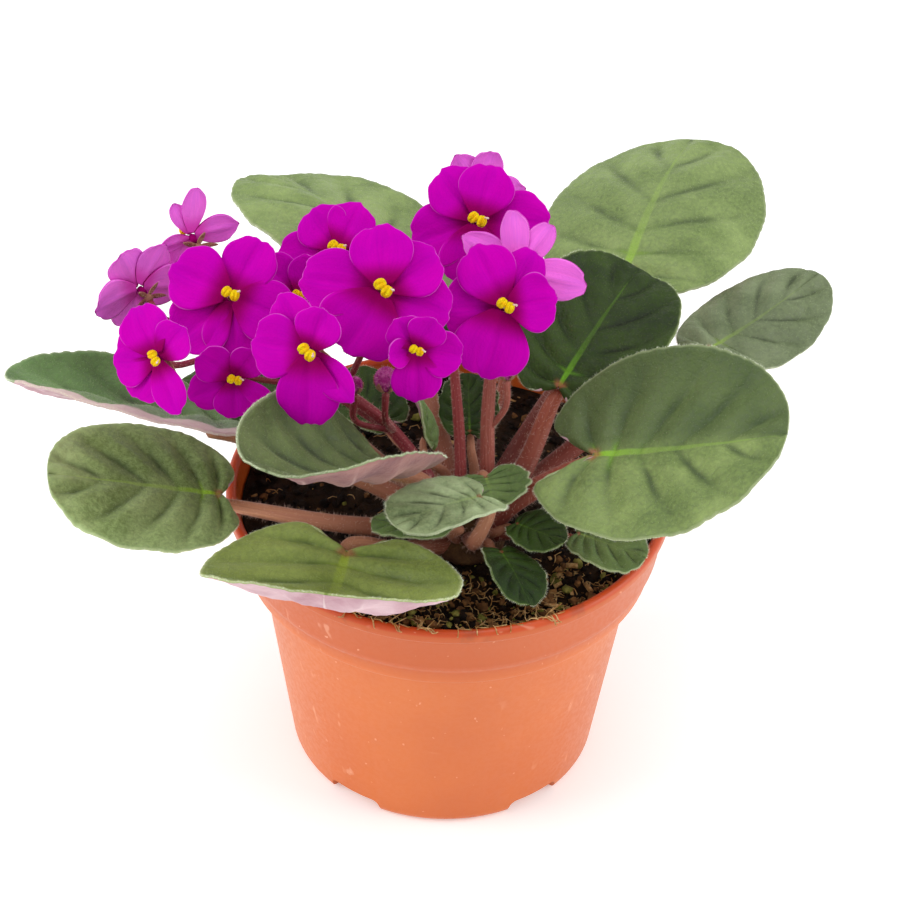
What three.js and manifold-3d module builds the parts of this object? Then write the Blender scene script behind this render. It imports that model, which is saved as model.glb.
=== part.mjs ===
// An african violet in a 12 cm plastic pot, in millimetres, +Z up.
// The origin is the middle of the pot's foot, on the surface that it stands on.
import * as THREE from 'three';
import { mergeVertices } from 'three/addons/utils/BufferGeometryUtils.js';
import Module from 'manifold-3d';

const wasm = await Module();
wasm.setup();

// ---------------------------------------------------------------- driving dimensions

const clearance = 0.3; // between pieces that touch
const pot = {
  height: 86,
  lipRadius: 60,
  lipDepth: 4,
  wall: 1.5,
  floor: 6,
  floorRound: 2,
  footRadius: 41.5,
  footBevel: 1.5,
  edge: 0.8, // bevel of the lip and of the foot
  step: 1.2, // height of the slopes beside the ridges
  bodyTop: { radius: 51, z: 63 },
  bandFoot: { radius: 55.2, z: 64.5 },
  bandRidge: { radius: 57, z: 70.5 },
  insideStep: { from: 62, to: 65 }, // heights between which the inside widens to the band
  drains: 5,
  firstDrain: 236, // degrees
  channel: { width: 16, height: 4.4, from: 14, to: 46 },
  drainHole: { radius: 3.5, at: 28, sides: 10 },
  sides: 30,
};
const soil = {
  z: 80.5,
  bump: 0.9,
  edgeDrop: 1.5,
  clods: { count: 8, from: 16, to: 52, least: 1.6, most: 3.2 },
  sides: 20,
  rings: 4,
};
const crown = {
  x: 5, y: -19, neckRadius: 7, radius: 11, bottom: 62, shoulder: 84, top: 91, collar: 2.5, sides: 12,
};
// widest, notch and fullness shape the outline. notch: the half width of the notch at the stalk, as a
// turn about the blade. scallop: the margin's teeth. quilt: the swell between the side veins.
const blade = {
  thickness: 0.9,
  widest: 0.42,
  notch: 0.2,
  fullness: 0.88,
  scallop: 0.5,
  quilt: 0.45,
  ripple: 0.7,
  ripples: 9,
};
const leafStalkEnd = { share: 0.55, below: 0.5, notch: -4, reach: 0.12 };
const petal = {
  thickness: 0.65, layer: 1.15, rise: 1.2, riseOver: 7, root: 0.12, shoulder: 0.62, corner: 1.2,
  rows: [0.08, 0.44, 0.8, 1],
};
const throat = { frontRadius: 2.7, backRadius: 2.3, front: 1.9, back: 3.8 };
const anther = { radius: 1.7, apart: 1.15, ahead: 2.8, filamentRadius: 0.8, filamentLength: 2.6 };
const sepals = { count: 5, length: 7, notch: 2, thickness: 0.7, curl: 0.8, behind: 0.7 };
const pedicel = { radii: [0.9, 0.8, 0.9], sides: 4, steps: 3, bend: 9, sag: 2.5, overlap: 0.15 };
const socket = { depth: 5, sides: 8 };
const bud = { stretch: 1.15, columns: 8, rows: 6 };

// Leaves. spot: where the stalk meets the blade. heading: the way the midrib points, in degrees
// from +X. rise, roll: its tilt. droop: how far the midrib bends down on its way. cupLeft, cupRight:
// how far each half curls up. lobe: how far the basal lobes reach back, as a share of the length.
// via: a point that the stalk passes on its way from the crown. stalk: its radius there.
const leaves = [
  { name: 'leaf_right_front', spot: [37, -23, 116.5], heading: -16, rise: 19, roll: 5, length: 53, width: 60,
    droop: -5, cupLeft: 50, cupRight: -12, lobe: 0.31, via: [17, -21, 98], stalk: 2.9 },
  { name: 'leaf_right_middle', spot: [28, 3, 118], heading: 64, rise: 14, roll: 10, length: 54, width: 42,
    droop: 20, cupLeft: 46, cupRight: 25, lobe: 0.13, via: [18, -14, 100], stalk: 2.8 },
  { name: 'leaf_right_back', spot: [69, 30, 111.5], heading: 51, rise: -8, roll: 8, length: 51, width: 31,
    droop: -12, cupLeft: -26, cupRight: -24, lobe: 0.13, via: [38, 4, 102], stalk: 2.6 },
  { name: 'leaf_back_right', spot: [47, 62, 113], heading: 75, rise: 15, roll: -10, length: 71, width: 64,
    droop: 30, cupLeft: -20, cupRight: -34, lobe: 0.13, via: [24, 16, 98], stalk: 2.8 },
  { name: 'leaf_back_left', spot: [-14, 40, 124.5], heading: 122, rise: 16, roll: 28, length: 65, width: 56,
    droop: 38, cupLeft: -34, cupRight: 24, lobe: 0.13, via: [-5, 8, 104], stalk: 2.7 },
  { name: 'leaf_left_upper', spot: [-58, -6, 109], heading: 205, rise: 24, roll: 38, length: 64, width: 58,
    droop: -8, cupLeft: -26, cupRight: 78, lobe: 0.13, via: [-24, -14, 99], stalk: 2.7 },
  { name: 'leaf_left_lower', spot: [-60, -18.5, 95.5], heading: 188, rise: 14, roll: 4, length: 46, width: 52,
    droop: 2, cupLeft: -12, cupRight: 8, lobe: 0.13, via: [-26, -24, 91], stalk: 2.6 },
  { name: 'leaf_front_left', spot: [-26, -38, 94], heading: 260, rise: -13, roll: -6, length: 48, width: 68,
    droop: -80, cupLeft: 36, cupRight: 2, lobe: 0.16, via: [-12, -31, 89], stalk: 2.6 },
  { name: 'leaf_centre_folded', spot: [-17, -27, 115], heading: 239, rise: 21, roll: 3, length: 62, width: 55,
    droop: -22, cupLeft: 64, cupRight: 92, lobe: 0.13, via: [-6, -20.5, 102], stalk: 2.9 },
  { name: 'young_front', spot: [8, -33, 109.5], heading: 216, rise: 16, roll: 8, length: 27, width: 26,
    droop: 20, cupLeft: 18, cupRight: 8, lobe: 0.2, via: [7, -31.5, 93], stalk: 2, small: true },
  { name: 'young_under', spot: [-1, -28.3, 96.9], heading: 183, rise: 1, roll: -5, length: 19, width: 12,
    droop: 8, cupLeft: -6, cupRight: -4, lobe: 0.15, via: [1, -26, 91], stalk: 1.6, small: true },
  { name: 'young_right', spot: [9.5, -19, 104.5], heading: 284, rise: -6, roll: 6, length: 11, width: 22,
    droop: 6, cupLeft: 30, cupRight: 24, lobe: 0.24, via: [7.5, -17, 98], stalk: 1.6, small: true },
  { name: 'young_low', spot: [14, -33, 91], heading: 296, rise: 2, roll: -16, length: 19, width: 16,
    droop: 22, cupLeft: 10, cupRight: 20, lobe: 0.18, via: [11, -29, 90], stalk: 1.5, small: true },
  { name: 'young_dark', spot: [18, -25, 94], heading: 330, rise: 4, roll: 4, length: 14, width: 14,
    droop: 10, cupLeft: 8, cupRight: 8, lobe: 0.15, via: [14, -24, 91], stalk: 1.4, small: true },
  { name: 'young_behind', spot: [5, -2, 106], heading: 94, rise: 32, roll: -8, length: 17, width: 16,
    droop: 10, cupLeft: 6, cupRight: 6, lobe: 0.15, via: [6.5, -7, 97], stalk: 1.5, small: true },
  { name: 'young_edge', spot: [-5, -7, 106], heading: 112, rise: 40, roll: 62, length: 19, width: 12,
    droop: 12, cupLeft: 16, cupRight: 16, lobe: 0.12, via: [-1, -9, 97], stalk: 1.5, small: true },
  { name: 'young_bright', spot: [-17, 0, 107], heading: 130, rise: 14, roll: 0, length: 22, width: 20,
    droop: 14, cupLeft: 8, cupRight: 8, lobe: 0.15, via: [-6, -4, 95], stalk: 1.6, small: true },
  { name: 'leaf_under_blooms', spot: [-35, 14, 99], heading: 158, rise: 4, roll: 6, length: 42, width: 36,
    droop: 16, cupLeft: -14, cupRight: 10, lobe: 0.14, via: [-14, -4, 92], stalk: 2.2, small: true },
  { name: 'leaf_back_low', spot: [14, 38, 101], heading: 96, rise: 8, roll: 0, length: 42, width: 38,
    droop: 24, cupLeft: -12, cupRight: -12, lobe: 0.14, via: [9, 8, 95], stalk: 2.2, small: true },
  { name: 'leaf_right_low', spot: [34, -27, 93], heading: -22, rise: -2, roll: 6, length: 19, width: 18,
    droop: 8, cupLeft: 8, cupRight: 8, lobe: 0.14, via: [19, -25, 91], stalk: 1.8, small: true },
];

// Flower stalks. foot: where the stalk leaves the crown, on its way to via. forks: the branches
// that the pedicels spring from. radius: at the foot.
const sprays = [
  { name: 'stalk_right', foot: [10, -12], via: [9.5, -10, 113], forks: [[10, -7, 135]], radius: 2 },
  { name: 'stalk_centre', foot: [3, -13], via: [2, -9, 114], forks: [[0, -3, 131]], radius: 1.6 },
  { name: 'stalk_left', foot: [-3, -15], via: [-15, -10, 112],
    forks: [[-28, -9, 124], [-52, 2, 131]], radius: 1.8 },
];

// Blooms. spray: its stalk and which fork of it. centre: the middle of the throat. face: the way it
// looks, as degrees from +X and degrees up. turn: how far it is turned about that. size: against a
// bloom of 38 mm. petals: the bearing of each from the top of the face, its length and width, its
// layer, the front ones higher, and how far it folds back, in degrees.
const blooms = [
  { name: 'bloom_top', spray: ['stalk_right', 0], centre: [5, 23, 156.7],
    face: [-88, 38], turn: 13, size: 0.97,
    petals: [[24, 16.5, 15.5, 0.6, 8], [-29, 15.5, 15.5, 1.3, 10], [98, 18.5, 17.5, -0.4, 14],
      [-106, 20, 18, -0.3, 14], [160, 18, 18, 0.2, 20]] },
  { name: 'bloom_right', spray: ['stalk_right', 0], centre: [12.5, -8, 152],
    face: [-84, 40], turn: -2, size: 0.92,
    petals: [[27, 18.5, 17, 0.9, 4], [-29, 18, 12.5, 0.2, 10], [92, 17, 18.5, -0.5, 8],
      [-84, 14.5, 17, 1.3, -16], [162, 20.5, 22, 0.4, 16]] },
  { name: 'bloom_right_back', spray: ['stalk_right', 0], centre: [15.5, 6.5, 152.5],
    face: [80, -20], turn: 10, size: 0.86,
    petals: [[20, 18.5, 8.5, 0.8, 4], [-18, 19, 9, 0.4, 4], [84, 21.5, 13, 0.2, 6],
      [-74, 19, 10.5, 1.2, 6], [180, 10, 12, 0.8, 4]] },
  { name: 'bloom_top_back', spray: ['stalk_right', 0], centre: [6, 42, 151],
    face: [96, -6], turn: -8, size: 0.8,
    petals: [[20, 17, 11, 0.8, 4], [-20, 17, 10.5, 1.3, 4], [92, 15, 12, 0.5, 4],
      [-92, 15, 12, 0.6, 4], [180, 15, 13, 1.1, 2]] },
  { name: 'bloom_centre', spray: ['stalk_left', 0], centre: [-18, -14, 160.5],
    face: [-92, 42], turn: -20, size: 1.02,
    petals: [[26, 16, 16, 1.3, 6], [-34, 16, 15, 0.7, 10], [104, 21, 17, -0.2, 12],
      [-88, 17.5, 16.5, -0.3, 10], [171, 18, 23, 0.3, 14]] },
  { name: 'bloom_centre_back', spray: ['stalk_centre', 0], centre: [-31, 22, 146.5],
    face: [-96, 44], turn: 4, size: 0.95,
    petals: [[36, 13.5, 15, 0.7, 4], [-26, 14, 14, 1.2, 4], [103, 17.5, 15, 0, 10],
      [-100, 17, 15, 0.1, 10], [180, 17, 17, 0.5, 14]] },
  { name: 'bloom_small', spray: ['stalk_centre', 0], centre: [-9.5, -31, 155.7],
    face: [-84, 22], turn: 0, size: 0.72,
    petals: [[31, 13.5, 14, 0.8, -20], [-30, 13, 14.5, 1.3, -20], [98, 12, 12, 0.2, -60],
      [-103, 16.5, 17, 0.4, -6], [180, 19.5, 18, 0.9, 10]] },
  { name: 'bloom_left_front', spray: ['stalk_left', 0], centre: [-35, -35.5, 157],
    face: [-108, 30], turn: 6, size: 0.96,
    petals: [[36, 16.5, 12, 0.1, 6], [-18, 12, 13, 1.2, -10], [88, 16, 17, 0.6, 4],
      [-132, 17, 9, 0.1, -10], [-178, 19.5, 17.5, 1, 14]] },
  { name: 'bloom_left', spray: ['stalk_left', 0], centre: [-57, -6, 151],
    face: [-92, 46], turn: 17, size: 0.92,
    petals: [[50, 18.5, 19, 1.3, 4], [-42, 18, 16, 0.7, 6], [116, 20.2, 19, -0.2, 16],
      [-128, 18, 18, 0.8, 10], [170, 17.5, 18, 0.1, 18]] },
  { name: 'bloom_left_behind', spray: ['stalk_left', 0], centre: [-41, 7, 142.5],
    face: [-76, 36], turn: 0, size: 0.78,
    petals: [[40, 17.5, 15, 0.7, -4], [-22, 14, 12, 1.2, -18], [100, 17, 16, 0.1, 6],
      [-100, 16, 16, 0.2, 8], [180, 17, 17, 0.5, 12]] },
  { name: 'bloom_left_low', spray: ['stalk_left', 0], centre: [-55.5, -25, 140],
    face: [-80, 22], turn: 0, size: 0.75,
    petals: [[50, 16, 14, 0.2, -30], [-40, 13, 13, 0.6, -30], [114, 16.5, 14, 0, 8],
      [-128, 16.5, 7, 1.3, -10], [180, 14.5, 15, 0.8, 10]] },
  { name: 'bloom_far_left', spray: ['stalk_left', 1], centre: [-73, -34.5, 152.5],
    face: [-112, 34], turn: -8, size: 0.8,
    petals: [[46, 17.5, 17, 0.9, 2], [-24, 14, 14, 0.5, -20], [114, 15, 18, 0.3, 4],
      [-135, 18.5, 11, 1.3, 4], [168, 15, 16, 0, 10]] },
  { name: 'bloom_side', spray: ['stalk_left', 1], centre: [-69, 18, 152],
    face: [115, 5], turn: 0, size: 0.85,
    petals: [[8, 17, 8, 0.5, -10], [-22, 12, 6, 1, -30], [87, 15, 11, 0.2, 10],
      [-100, 11, 6, 0, 10], [-150, 13, 9, 0.6, 8]] },
  { name: 'bloom_from_behind', spray: ['stalk_left', 1], centre: [-81.5, 4, 145],
    face: [128, 4], turn: 10, size: 0.8,
    petals: [[34, 16, 14, 0.6, -8], [-30, 16, 14, 1.1, -8], [98, 17, 16, 0, 6],
      [-104, 17, 16, 0.1, 6], [180, 16, 17, 0.8, 10]] },
];

// Closed buds, on the stalk that each one grows from.
const buds = [
  { name: 'bud_centre', spray: 'stalk_left', at: [-17, -19, 136], radius: 3 },
  { name: 'bud_right', spray: 'stalk_right', at: [14, -11, 134], radius: 2.4 },
  { name: 'bud_left', spray: 'stalk_left', at: [-25, -14, 130], radius: 2 },
];

const colours = {
  terracotta: { color: 0xd9683c, roughness: 0.45 },
  peat: { color: 0x2a2019, roughness: 0.95 },
  stalk: { color: 0x9a5f4e, roughness: 0.7 },
  flowerStalk: { color: 0x7a2f3a, roughness: 0.6 },
  leaf: { color: 0x5b7350, roughness: 0.75 },
  youngLeaf: { color: 0x668a58, roughness: 0.8 },
  petal: { color: 0xa8119a, roughness: 0.5 },
  anther: { color: 0xf5d312, roughness: 0.55 },
  bud: { color: 0x8c2f63, roughness: 0.6 },
};

// ---------------------------------------------------------------- helpers

const radians = THREE.MathUtils.degToRad;
const vector = (list) => new THREE.Vector3(...list);

// Draws from a seeded row of numbers from 0 to 1, so that every run gives the same plant.
function seeded(seed) {
  const multiplier = 48271;
  const modulus = 2 ** 31 - 1;
  let state = seed;
  return () => {
    state = (state * multiplier) % modulus;
    return state / modulus;
  };
}

function polarDirection(heading, rise) {
  const level = Math.cos(radians(rise));
  return new THREE.Vector3(
    level * Math.cos(radians(heading)), level * Math.sin(radians(heading)), Math.sin(radians(rise)));
}

function toSolid(geometry) {
  const bare = geometry.index ? geometry.toNonIndexed() : geometry.clone();
  bare.deleteAttribute('normal');
  bare.deleteAttribute('uv');
  const merged = mergeVertices(bare, 1e-4);
  return new wasm.Manifold(new wasm.Mesh({
    numProp: 3,
    vertProperties: new Float32Array(merged.attributes.position.array),
    triVerts: new Uint32Array(merged.index.array),
  }));
}

function toGeometry(solid) {
  const mesh = solid.getMesh();
  const geometry = new THREE.BufferGeometry();
  geometry.setAttribute('position', new THREE.BufferAttribute(mesh.vertProperties, 3));
  geometry.setIndex(new THREE.BufferAttribute(mesh.triVerts, 1));
  return geometry;
}

const join = (solids) => solids.reduce((whole, next) => whole.add(next));

// A closed body from points and faces.
function facetedSolid(points, faces) {
  const geometry = new THREE.BufferGeometry();
  geometry.setAttribute('position', new THREE.Float32BufferAttribute(points.flatMap((p) => p.toArray()), 3));
  geometry.setIndex(faces.flat());
  return toSolid(geometry);
}

// A round stem along a smooth curve through points, thinner or thicker at each of them.
function stemSolid(points, radii, sides, steps) {
  const curve = new THREE.CatmullRomCurve3(points.map(vector), false, 'centripetal');
  const frames = curve.computeFrenetFrames(steps, false);
  const ring = [];
  const faces = [];
  for (let step = 0; step <= steps; step += 1) {
    const share = (step / steps) * (radii.length - 1);
    const from = Math.min(Math.floor(share), radii.length - 2);
    const radius = THREE.MathUtils.lerp(radii[from], radii[from + 1], share - from);
    const middle = curve.getPointAt(step / steps);
    for (let side = 0; side < sides; side += 1) {
      const angle = (side / sides) * 2 * Math.PI;
      ring.push(middle.clone()
        .addScaledVector(frames.normals[step], radius * Math.cos(angle))
        .addScaledVector(frames.binormals[step], radius * Math.sin(angle)));
    }
  }
  for (let step = 0; step < steps; step += 1) {
    for (let side = 0; side < sides; side += 1) {
      const next = (side + 1) % sides;
      const a = step * sides + side;
      const b = step * sides + next;
      faces.push([a, b, b + sides], [a, b + sides, a + sides]);
    }
  }
  const last = steps * sides;
  for (let side = 1; side < sides - 1; side += 1) {
    faces.push([0, side + 1, side], [last, last + side, last + side + 1]);
  }
  return facetedSolid(ring, faces);
}

// A thin blade between two like skins. rows are lists of points from one edge to the other, with
// the way out of the upper skin in normals. A row of one point closes an end.
function bladeSolid(rows, normals, thickness) {
  const upper = [];
  const lower = [];
  const index = [];
  rows.forEach((row, r) => {
    index.push(row.map((point, c) => {
      upper.push(point.clone().addScaledVector(normals[r][c], thickness / 2));
      lower.push(point.clone().addScaledVector(normals[r][c], -thickness / 2));
      return upper.length - 1;
    }));
  });
  const skin = [];
  for (let r = 0; r < rows.length - 1; r += 1) {
    const [near, far] = [index[r], index[r + 1]];
    const columns = Math.max(near.length, far.length) - 1;
    for (let c = 0; c < columns; c += 1) {
      if (near.length === 1) skin.push([near[0], far[c], far[c + 1]]);
      else if (far.length === 1) skin.push([near[c], far[0], near[c + 1]]);
      else skin.push([near[c], far[c], far[c + 1]], [near[c], far[c + 1], near[c + 1]]);
    }
  }
  const edge = [
    ...index.map((row) => row[0]),
    ...index[index.length - 1].slice(1),
    ...index.slice(0, -1).map((row) => row[row.length - 1]).reverse(),
    ...index[0].slice(1, -1).reverse(),
  ].filter((point, i, list) => point !== list[(i + 1) % list.length]);
  const count = upper.length;
  const faces = skin.map(([a, b, c]) => [a, b, c]);
  faces.push(...skin.map(([a, b, c]) => [a + count, c + count, b + count]));
  edge.forEach((a, i) => {
    const b = edge[(i + 1) % edge.length];
    faces.push([a, b + count, b], [a, a + count, b + count]);
  });
  return facetedSolid([...upper, ...lower], faces);
}

const plant = new THREE.Group();

function addNode(name, solid, finish) {
  const mesh = new THREE.Mesh(toGeometry(solid), new THREE.MeshStandardMaterial({ metalness: 0, ...finish }));
  mesh.name = name;
  plant.add(mesh);
}

// ---------------------------------------------------------------- pot and soil

// Inside radius of the pot at height z, between the floor and the rim.
function potInside(z) {
  const { bodyTop, bandFoot } = pot;
  const footOutside = pot.footRadius + pot.edge;
  const lipOutside = pot.lipRadius - pot.step;
  const low = THREE.MathUtils.mapLinear(z, 0, bodyTop.z, footOutside, bodyTop.radius);
  const high = THREE.MathUtils.mapLinear(z, bandFoot.z, pot.height, bandFoot.radius, lipOutside);
  return (z < bandFoot.z ? low : high) - pot.wall;
}

function makePot() {
  const { height, lipRadius, lipDepth, floor, floorRound, footRadius, footBevel, edge, step } = pot;
  const { bodyTop, bandFoot, bandRidge, insideStep } = pot;
  const outside = [
    [0, 0], [footRadius - footBevel, 0], [footRadius, edge], [footRadius + edge, edge * 3],
    [bodyTop.radius, bodyTop.z], [bandFoot.radius, bandFoot.z],
    [bandFoot.radius + edge / 2, bandFoot.z + step],
    [bandRidge.radius - edge, bandRidge.z - step], [bandRidge.radius, bandRidge.z],
    [bandRidge.radius + edge / 2, bandRidge.z + step], [lipRadius - step, height - lipDepth],
    [lipRadius, height - lipDepth + edge], [lipRadius, height - edge], [lipRadius - edge, height],
  ];
  const inside = [
    [potInside(height) + edge, height], [potInside(height - edge), height - edge],
    [potInside(insideStep.to), insideStep.to], [potInside(insideStep.from), insideStep.from],
    [potInside(floor + floorRound), floor + floorRound], [potInside(floor) - floorRound, floor], [0, floor],
  ];
  const profile = [...outside, ...inside].map(([r, z]) => new THREE.Vector2(r, z));
  const shell = new THREE.LatheGeometry(profile, pot.sides);
  shell.rotateX(Math.PI / 2);
  const { channel, drainHole } = pot;
  let body = toSolid(shell);
  for (let i = 0; i < pot.drains; i += 1) {
    const turn = radians(pot.firstDrain + (i * 360) / pot.drains);
    const groove = new THREE.BoxGeometry(channel.to - channel.from, channel.width, channel.height * 2);
    groove.translate((channel.from + channel.to) / 2, 0, 0);
    const hole = new THREE.CylinderGeometry(drainHole.radius, drainHole.radius, floor * 4, drainHole.sides);
    hole.rotateX(Math.PI / 2);
    hole.translate(drainHole.at, 0, 0);
    body = body.subtract(toSolid(groove.rotateZ(turn))).subtract(toSolid(hole.rotateZ(turn)));
  }
  addNode('pot', body, colours.terracotta);
}

// The soil: level on the whole, with a lumpy top, clods on it and a hole for the plant's neck.
function makeSoil() {
  const random = seeded(11);
  const bottom = pot.floor + clearance;
  const flatOfSide = Math.cos(Math.PI / pot.sides); // the pot's wall is this much nearer between its corners
  const points = [];
  const faces = [];
  const top = [];
  for (let ring = 1; ring <= soil.rings; ring += 1) {
    for (let side = 0; side < soil.sides; side += 1) {
      const angle = (side / soil.sides) * 2 * Math.PI;
      const radius = (potInside(soil.z - soil.edgeDrop) * flatOfSide - clearance) * (ring / soil.rings);
      const last = ring === soil.rings;
      const z = soil.z + (last ? -soil.edgeDrop : (random() * 2 - 1) * soil.bump);
      top.push(points.length);
      points.push(new THREE.Vector3(radius * Math.cos(angle), radius * Math.sin(angle), z));
    }
  }
  const walls = [
    { z: pot.insideStep.to, inset: 2 * clearance },
    { z: pot.insideStep.from, inset: 2 * clearance },
    { z: bottom, inset: pot.floorRound + clearance },
  ];
  walls.forEach(({ z, inset }) => {
    const radius = potInside(z) * flatOfSide - inset;
    for (let side = 0; side < soil.sides; side += 1) {
      const angle = (side / soil.sides) * 2 * Math.PI;
      points.push(new THREE.Vector3(radius * Math.cos(angle), radius * Math.sin(angle), z));
    }
  });
  const crest = points.length;
  points.push(new THREE.Vector3(0, 0, soil.z), new THREE.Vector3(0, 0, bottom));
  const levels = soil.rings + walls.length;
  for (let side = 0; side < soil.sides; side += 1) {
    const next = (side + 1) % soil.sides;
    faces.push([crest, side, next]);
    for (let level = 0; level < levels - 1; level += 1) {
      const a = level * soil.sides;
      faces.push([a + side, a + soil.sides + side, a + soil.sides + next]);
      faces.push([a + side, a + soil.sides + next, a + next]);
    }
    const foot = (levels - 1) * soil.sides;
    faces.push([foot + side, crest + 1, foot + next]);
  }
  let body = facetedSolid(points, faces);
  const { clods } = soil;
  for (let i = 0; i < clods.count; i += 1) {
    const angle = random() * 2 * Math.PI;
    const radius = THREE.MathUtils.lerp(clods.from, clods.to, random());
    const clod = new THREE.IcosahedronGeometry(THREE.MathUtils.lerp(clods.least, clods.most, random()), 0);
    clod.scale(1.2, 1, 0.7);
    clod.rotateZ(random() * Math.PI);
    clod.translate(radius * Math.cos(angle), radius * Math.sin(angle), soil.z);
    body = body.add(toSolid(clod));
  }
  const holeRadius = crown.neckRadius + clearance;
  const holeDepth = 2 * (soil.z - crown.bottom + clearance);
  const hole = new THREE.CylinderGeometry(holeRadius, holeRadius, holeDepth, crown.sides);
  hole.rotateX(Math.PI / 2);
  hole.translate(crown.x, crown.y, soil.z);
  addNode('soil', body.subtract(toSolid(hole)), colours.peat);
}

// ---------------------------------------------------------------- leaves

// The axes of a blade: along its midrib, to its left, and out of its upper face.
function leafFrame(leaf) {
  const along = polarDirection(leaf.heading, leaf.rise);
  const level = new THREE.Vector3(-Math.sin(radians(leaf.heading)), Math.cos(radians(leaf.heading)), 0);
  const left = level.applyAxisAngle(along, radians(leaf.roll));
  return new THREE.Matrix4().makeBasis(along, left, along.clone().cross(left)).setPosition(vector(leaf.spot));
}

// Where the flat blade's point (u along, v across) lies once the blade is cupped and drooped.
function bendBlade(leaf, u, v) {
  const half = leaf.width / 2;
  const cup = radians(v > 0 ? leaf.cupLeft : leaf.cupRight) / half || 1e-6;
  const across = Math.sin(cup * Math.abs(v)) / cup;
  const lift = (1 - Math.cos(cup * Math.abs(v))) / cup;
  const droop = radians(leaf.droop) / leaf.length || 1e-6;
  return new THREE.Vector3(
    Math.sin(droop * u) * (1 / droop + lift),
    across * Math.sign(v),
    Math.cos(droop * u) * (1 / droop + lift) - 1 / droop);
}

// A point of the flat blade: side is 1 or -1, s runs from the notch at 0 round the margin to the
// tip at 1, and w from the midrib at 0 along the side vein to the margin at 1.
function flatBlade(leaf, side, s, w, scallop) {
  const turn = Math.PI * (1 - s);
  const reach = Math.cos(turn) > 0 ? 1 - blade.widest : blade.widest + leaf.lobe;
  const notch = leaf.lobe * Math.exp(-(((Math.PI - turn) / blade.notch) ** 2));
  const marginU = (blade.widest + reach * Math.cos(turn) + notch) * leaf.length;
  const marginV = (leaf.width / 2) * Math.abs(Math.sin(turn)) ** blade.fullness;
  const ribU = leaf.length * s * s;
  const out = w + (scallop * w) / leaf.length;
  return { u: ribU + (marginU - ribU) * out, v: side * marginV * out };
}

function makeLeaf(leaf) {
  const steps = leaf.small ? 7 : 12;
  const across = leaf.small ? 2 : 3;
  const place = leafFrame(leaf);
  const on = (u, v) => bendBlade(leaf, u, v);
  const rows = [];
  const normals = [];
  for (let i = 0; i <= steps; i += 1) {
    const s = i / steps;
    const onRib = i === 0 || i === steps;
    const shares = onRib ? [0] : Array.from({ length: 2 * across + 1 }, (_, c) => (c - across) / across);
    const between = i % 2 === 1 ? 1 : -1;
    rows.push(shares.map((share) => {
      const w = Math.abs(share);
      const { u, v } = flatBlade(leaf, Math.sign(share) || 1, s, w, onRib ? 0 : between * blade.scallop);
      const point = on(u, v);
      const ripple = blade.ripple * w * w * Math.sin(blade.ripples * s + 2 * Math.sign(share) + leaf.length);
      const quilt = blade.quilt * between * Math.sin(Math.PI * Math.min(w, 0.9));
      point.z += onRib ? 0 : quilt + ripple;
      return point.applyMatrix4(place);
    }));
    normals.push(shares.map((share) => {
      const { u, v } = flatBlade(leaf, Math.sign(share) || 1, s, Math.abs(share), 0);
      const lengthways = on(u + 0.5, v).sub(on(u - 0.5, v));
      const sideways = on(u, v + 0.5).sub(on(u, v - 0.5));
      return lengthways.cross(sideways).normalize().transformDirection(place);
    }));
  }
  const finish = leaf.small ? colours.youngLeaf : colours.leaf;
  addNode(leaf.name, bladeSolid(rows, normals, blade.thickness), finish);
}

// The stalk of a leaf: from inside the crown, past via, to the notch, and on under the midrib.
function leafStalk(leaf) {
  const place = leafFrame(leaf);
  const tipRadius = leaf.stalk * leafStalkEnd.share;
  const drop = blade.thickness / 2 + clearance + tipRadius + leafStalkEnd.below;
  const under = (u, extra) => bendBlade(leaf, u, 0)
    .add(new THREE.Vector3(0, 0, -drop - extra))
    .applyMatrix4(place)
    .toArray();
  const axis = new THREE.Vector3(crown.x, crown.y, 0);
  const start = vector(leaf.via).sub(axis).setZ(0).setLength(crown.radius * 0.4).add(axis);
  start.z = Math.min(crown.top - 4, leaf.via[2] - 5);
  const notch = under(leafStalkEnd.notch, leafStalkEnd.below);
  const points = [start.toArray(), leaf.via, notch, under(leaf.length * leafStalkEnd.reach, 0)];
  const radii = [leaf.stalk * 1.15, leaf.stalk, leaf.stalk * 0.85, tipRadius];
  return stemSolid(points, radii, leaf.small ? 5 : 6, leaf.small ? 4 : 5);
}

// ---------------------------------------------------------------- crown

function makeStems() {
  const { neckRadius, radius, bottom, shoulder, top, collar } = crown;
  const profile = [
    [0, bottom], [neckRadius * 0.7, bottom], [neckRadius, bottom + 6], [neckRadius, soil.z + collar],
    [radius * 0.85, shoulder], [radius, shoulder + 2], [radius * 0.75, top - 2], [0, top],
  ].map(([r, z]) => new THREE.Vector2(r, z));
  const knob = new THREE.LatheGeometry(profile, crown.sides);
  knob.rotateX(Math.PI / 2);
  knob.translate(crown.x, crown.y, 0);
  const grown = join([toSolid(knob), ...leaves.map(leafStalk)]);
  const sockets = sprays.map((spray) => {
    const socketRadius = spray.radius + 2 * clearance;
    const socketLength = 2 * (socket.depth + clearance);
    const hole = new THREE.CylinderGeometry(socketRadius, socketRadius, socketLength, socket.sides);
    hole.rotateX(Math.PI / 2);
    hole.translate(...spray.foot, top);
    return toSolid(hole);
  });
  addNode('plant_stems', grown.subtract(join(sockets)), colours.stalk);
}

// ---------------------------------------------------------------- flower stalks

// The axes of a bloom: to its left, up its face, and out of it.
function bloomFrame(bloom) {
  const out = polarDirection(...bloom.face);
  const up = new THREE.Vector3(0, 0, 1).projectOnPlane(out).normalize();
  up.applyAxisAngle(out, radians(bloom.turn));
  return new THREE.Matrix4().makeBasis(up.clone().cross(out), up, out).setPosition(vector(bloom.centre));
}

const calyxDepth = (bloom) => (throat.back + sepals.behind) * bloom.size + clearance;

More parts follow.
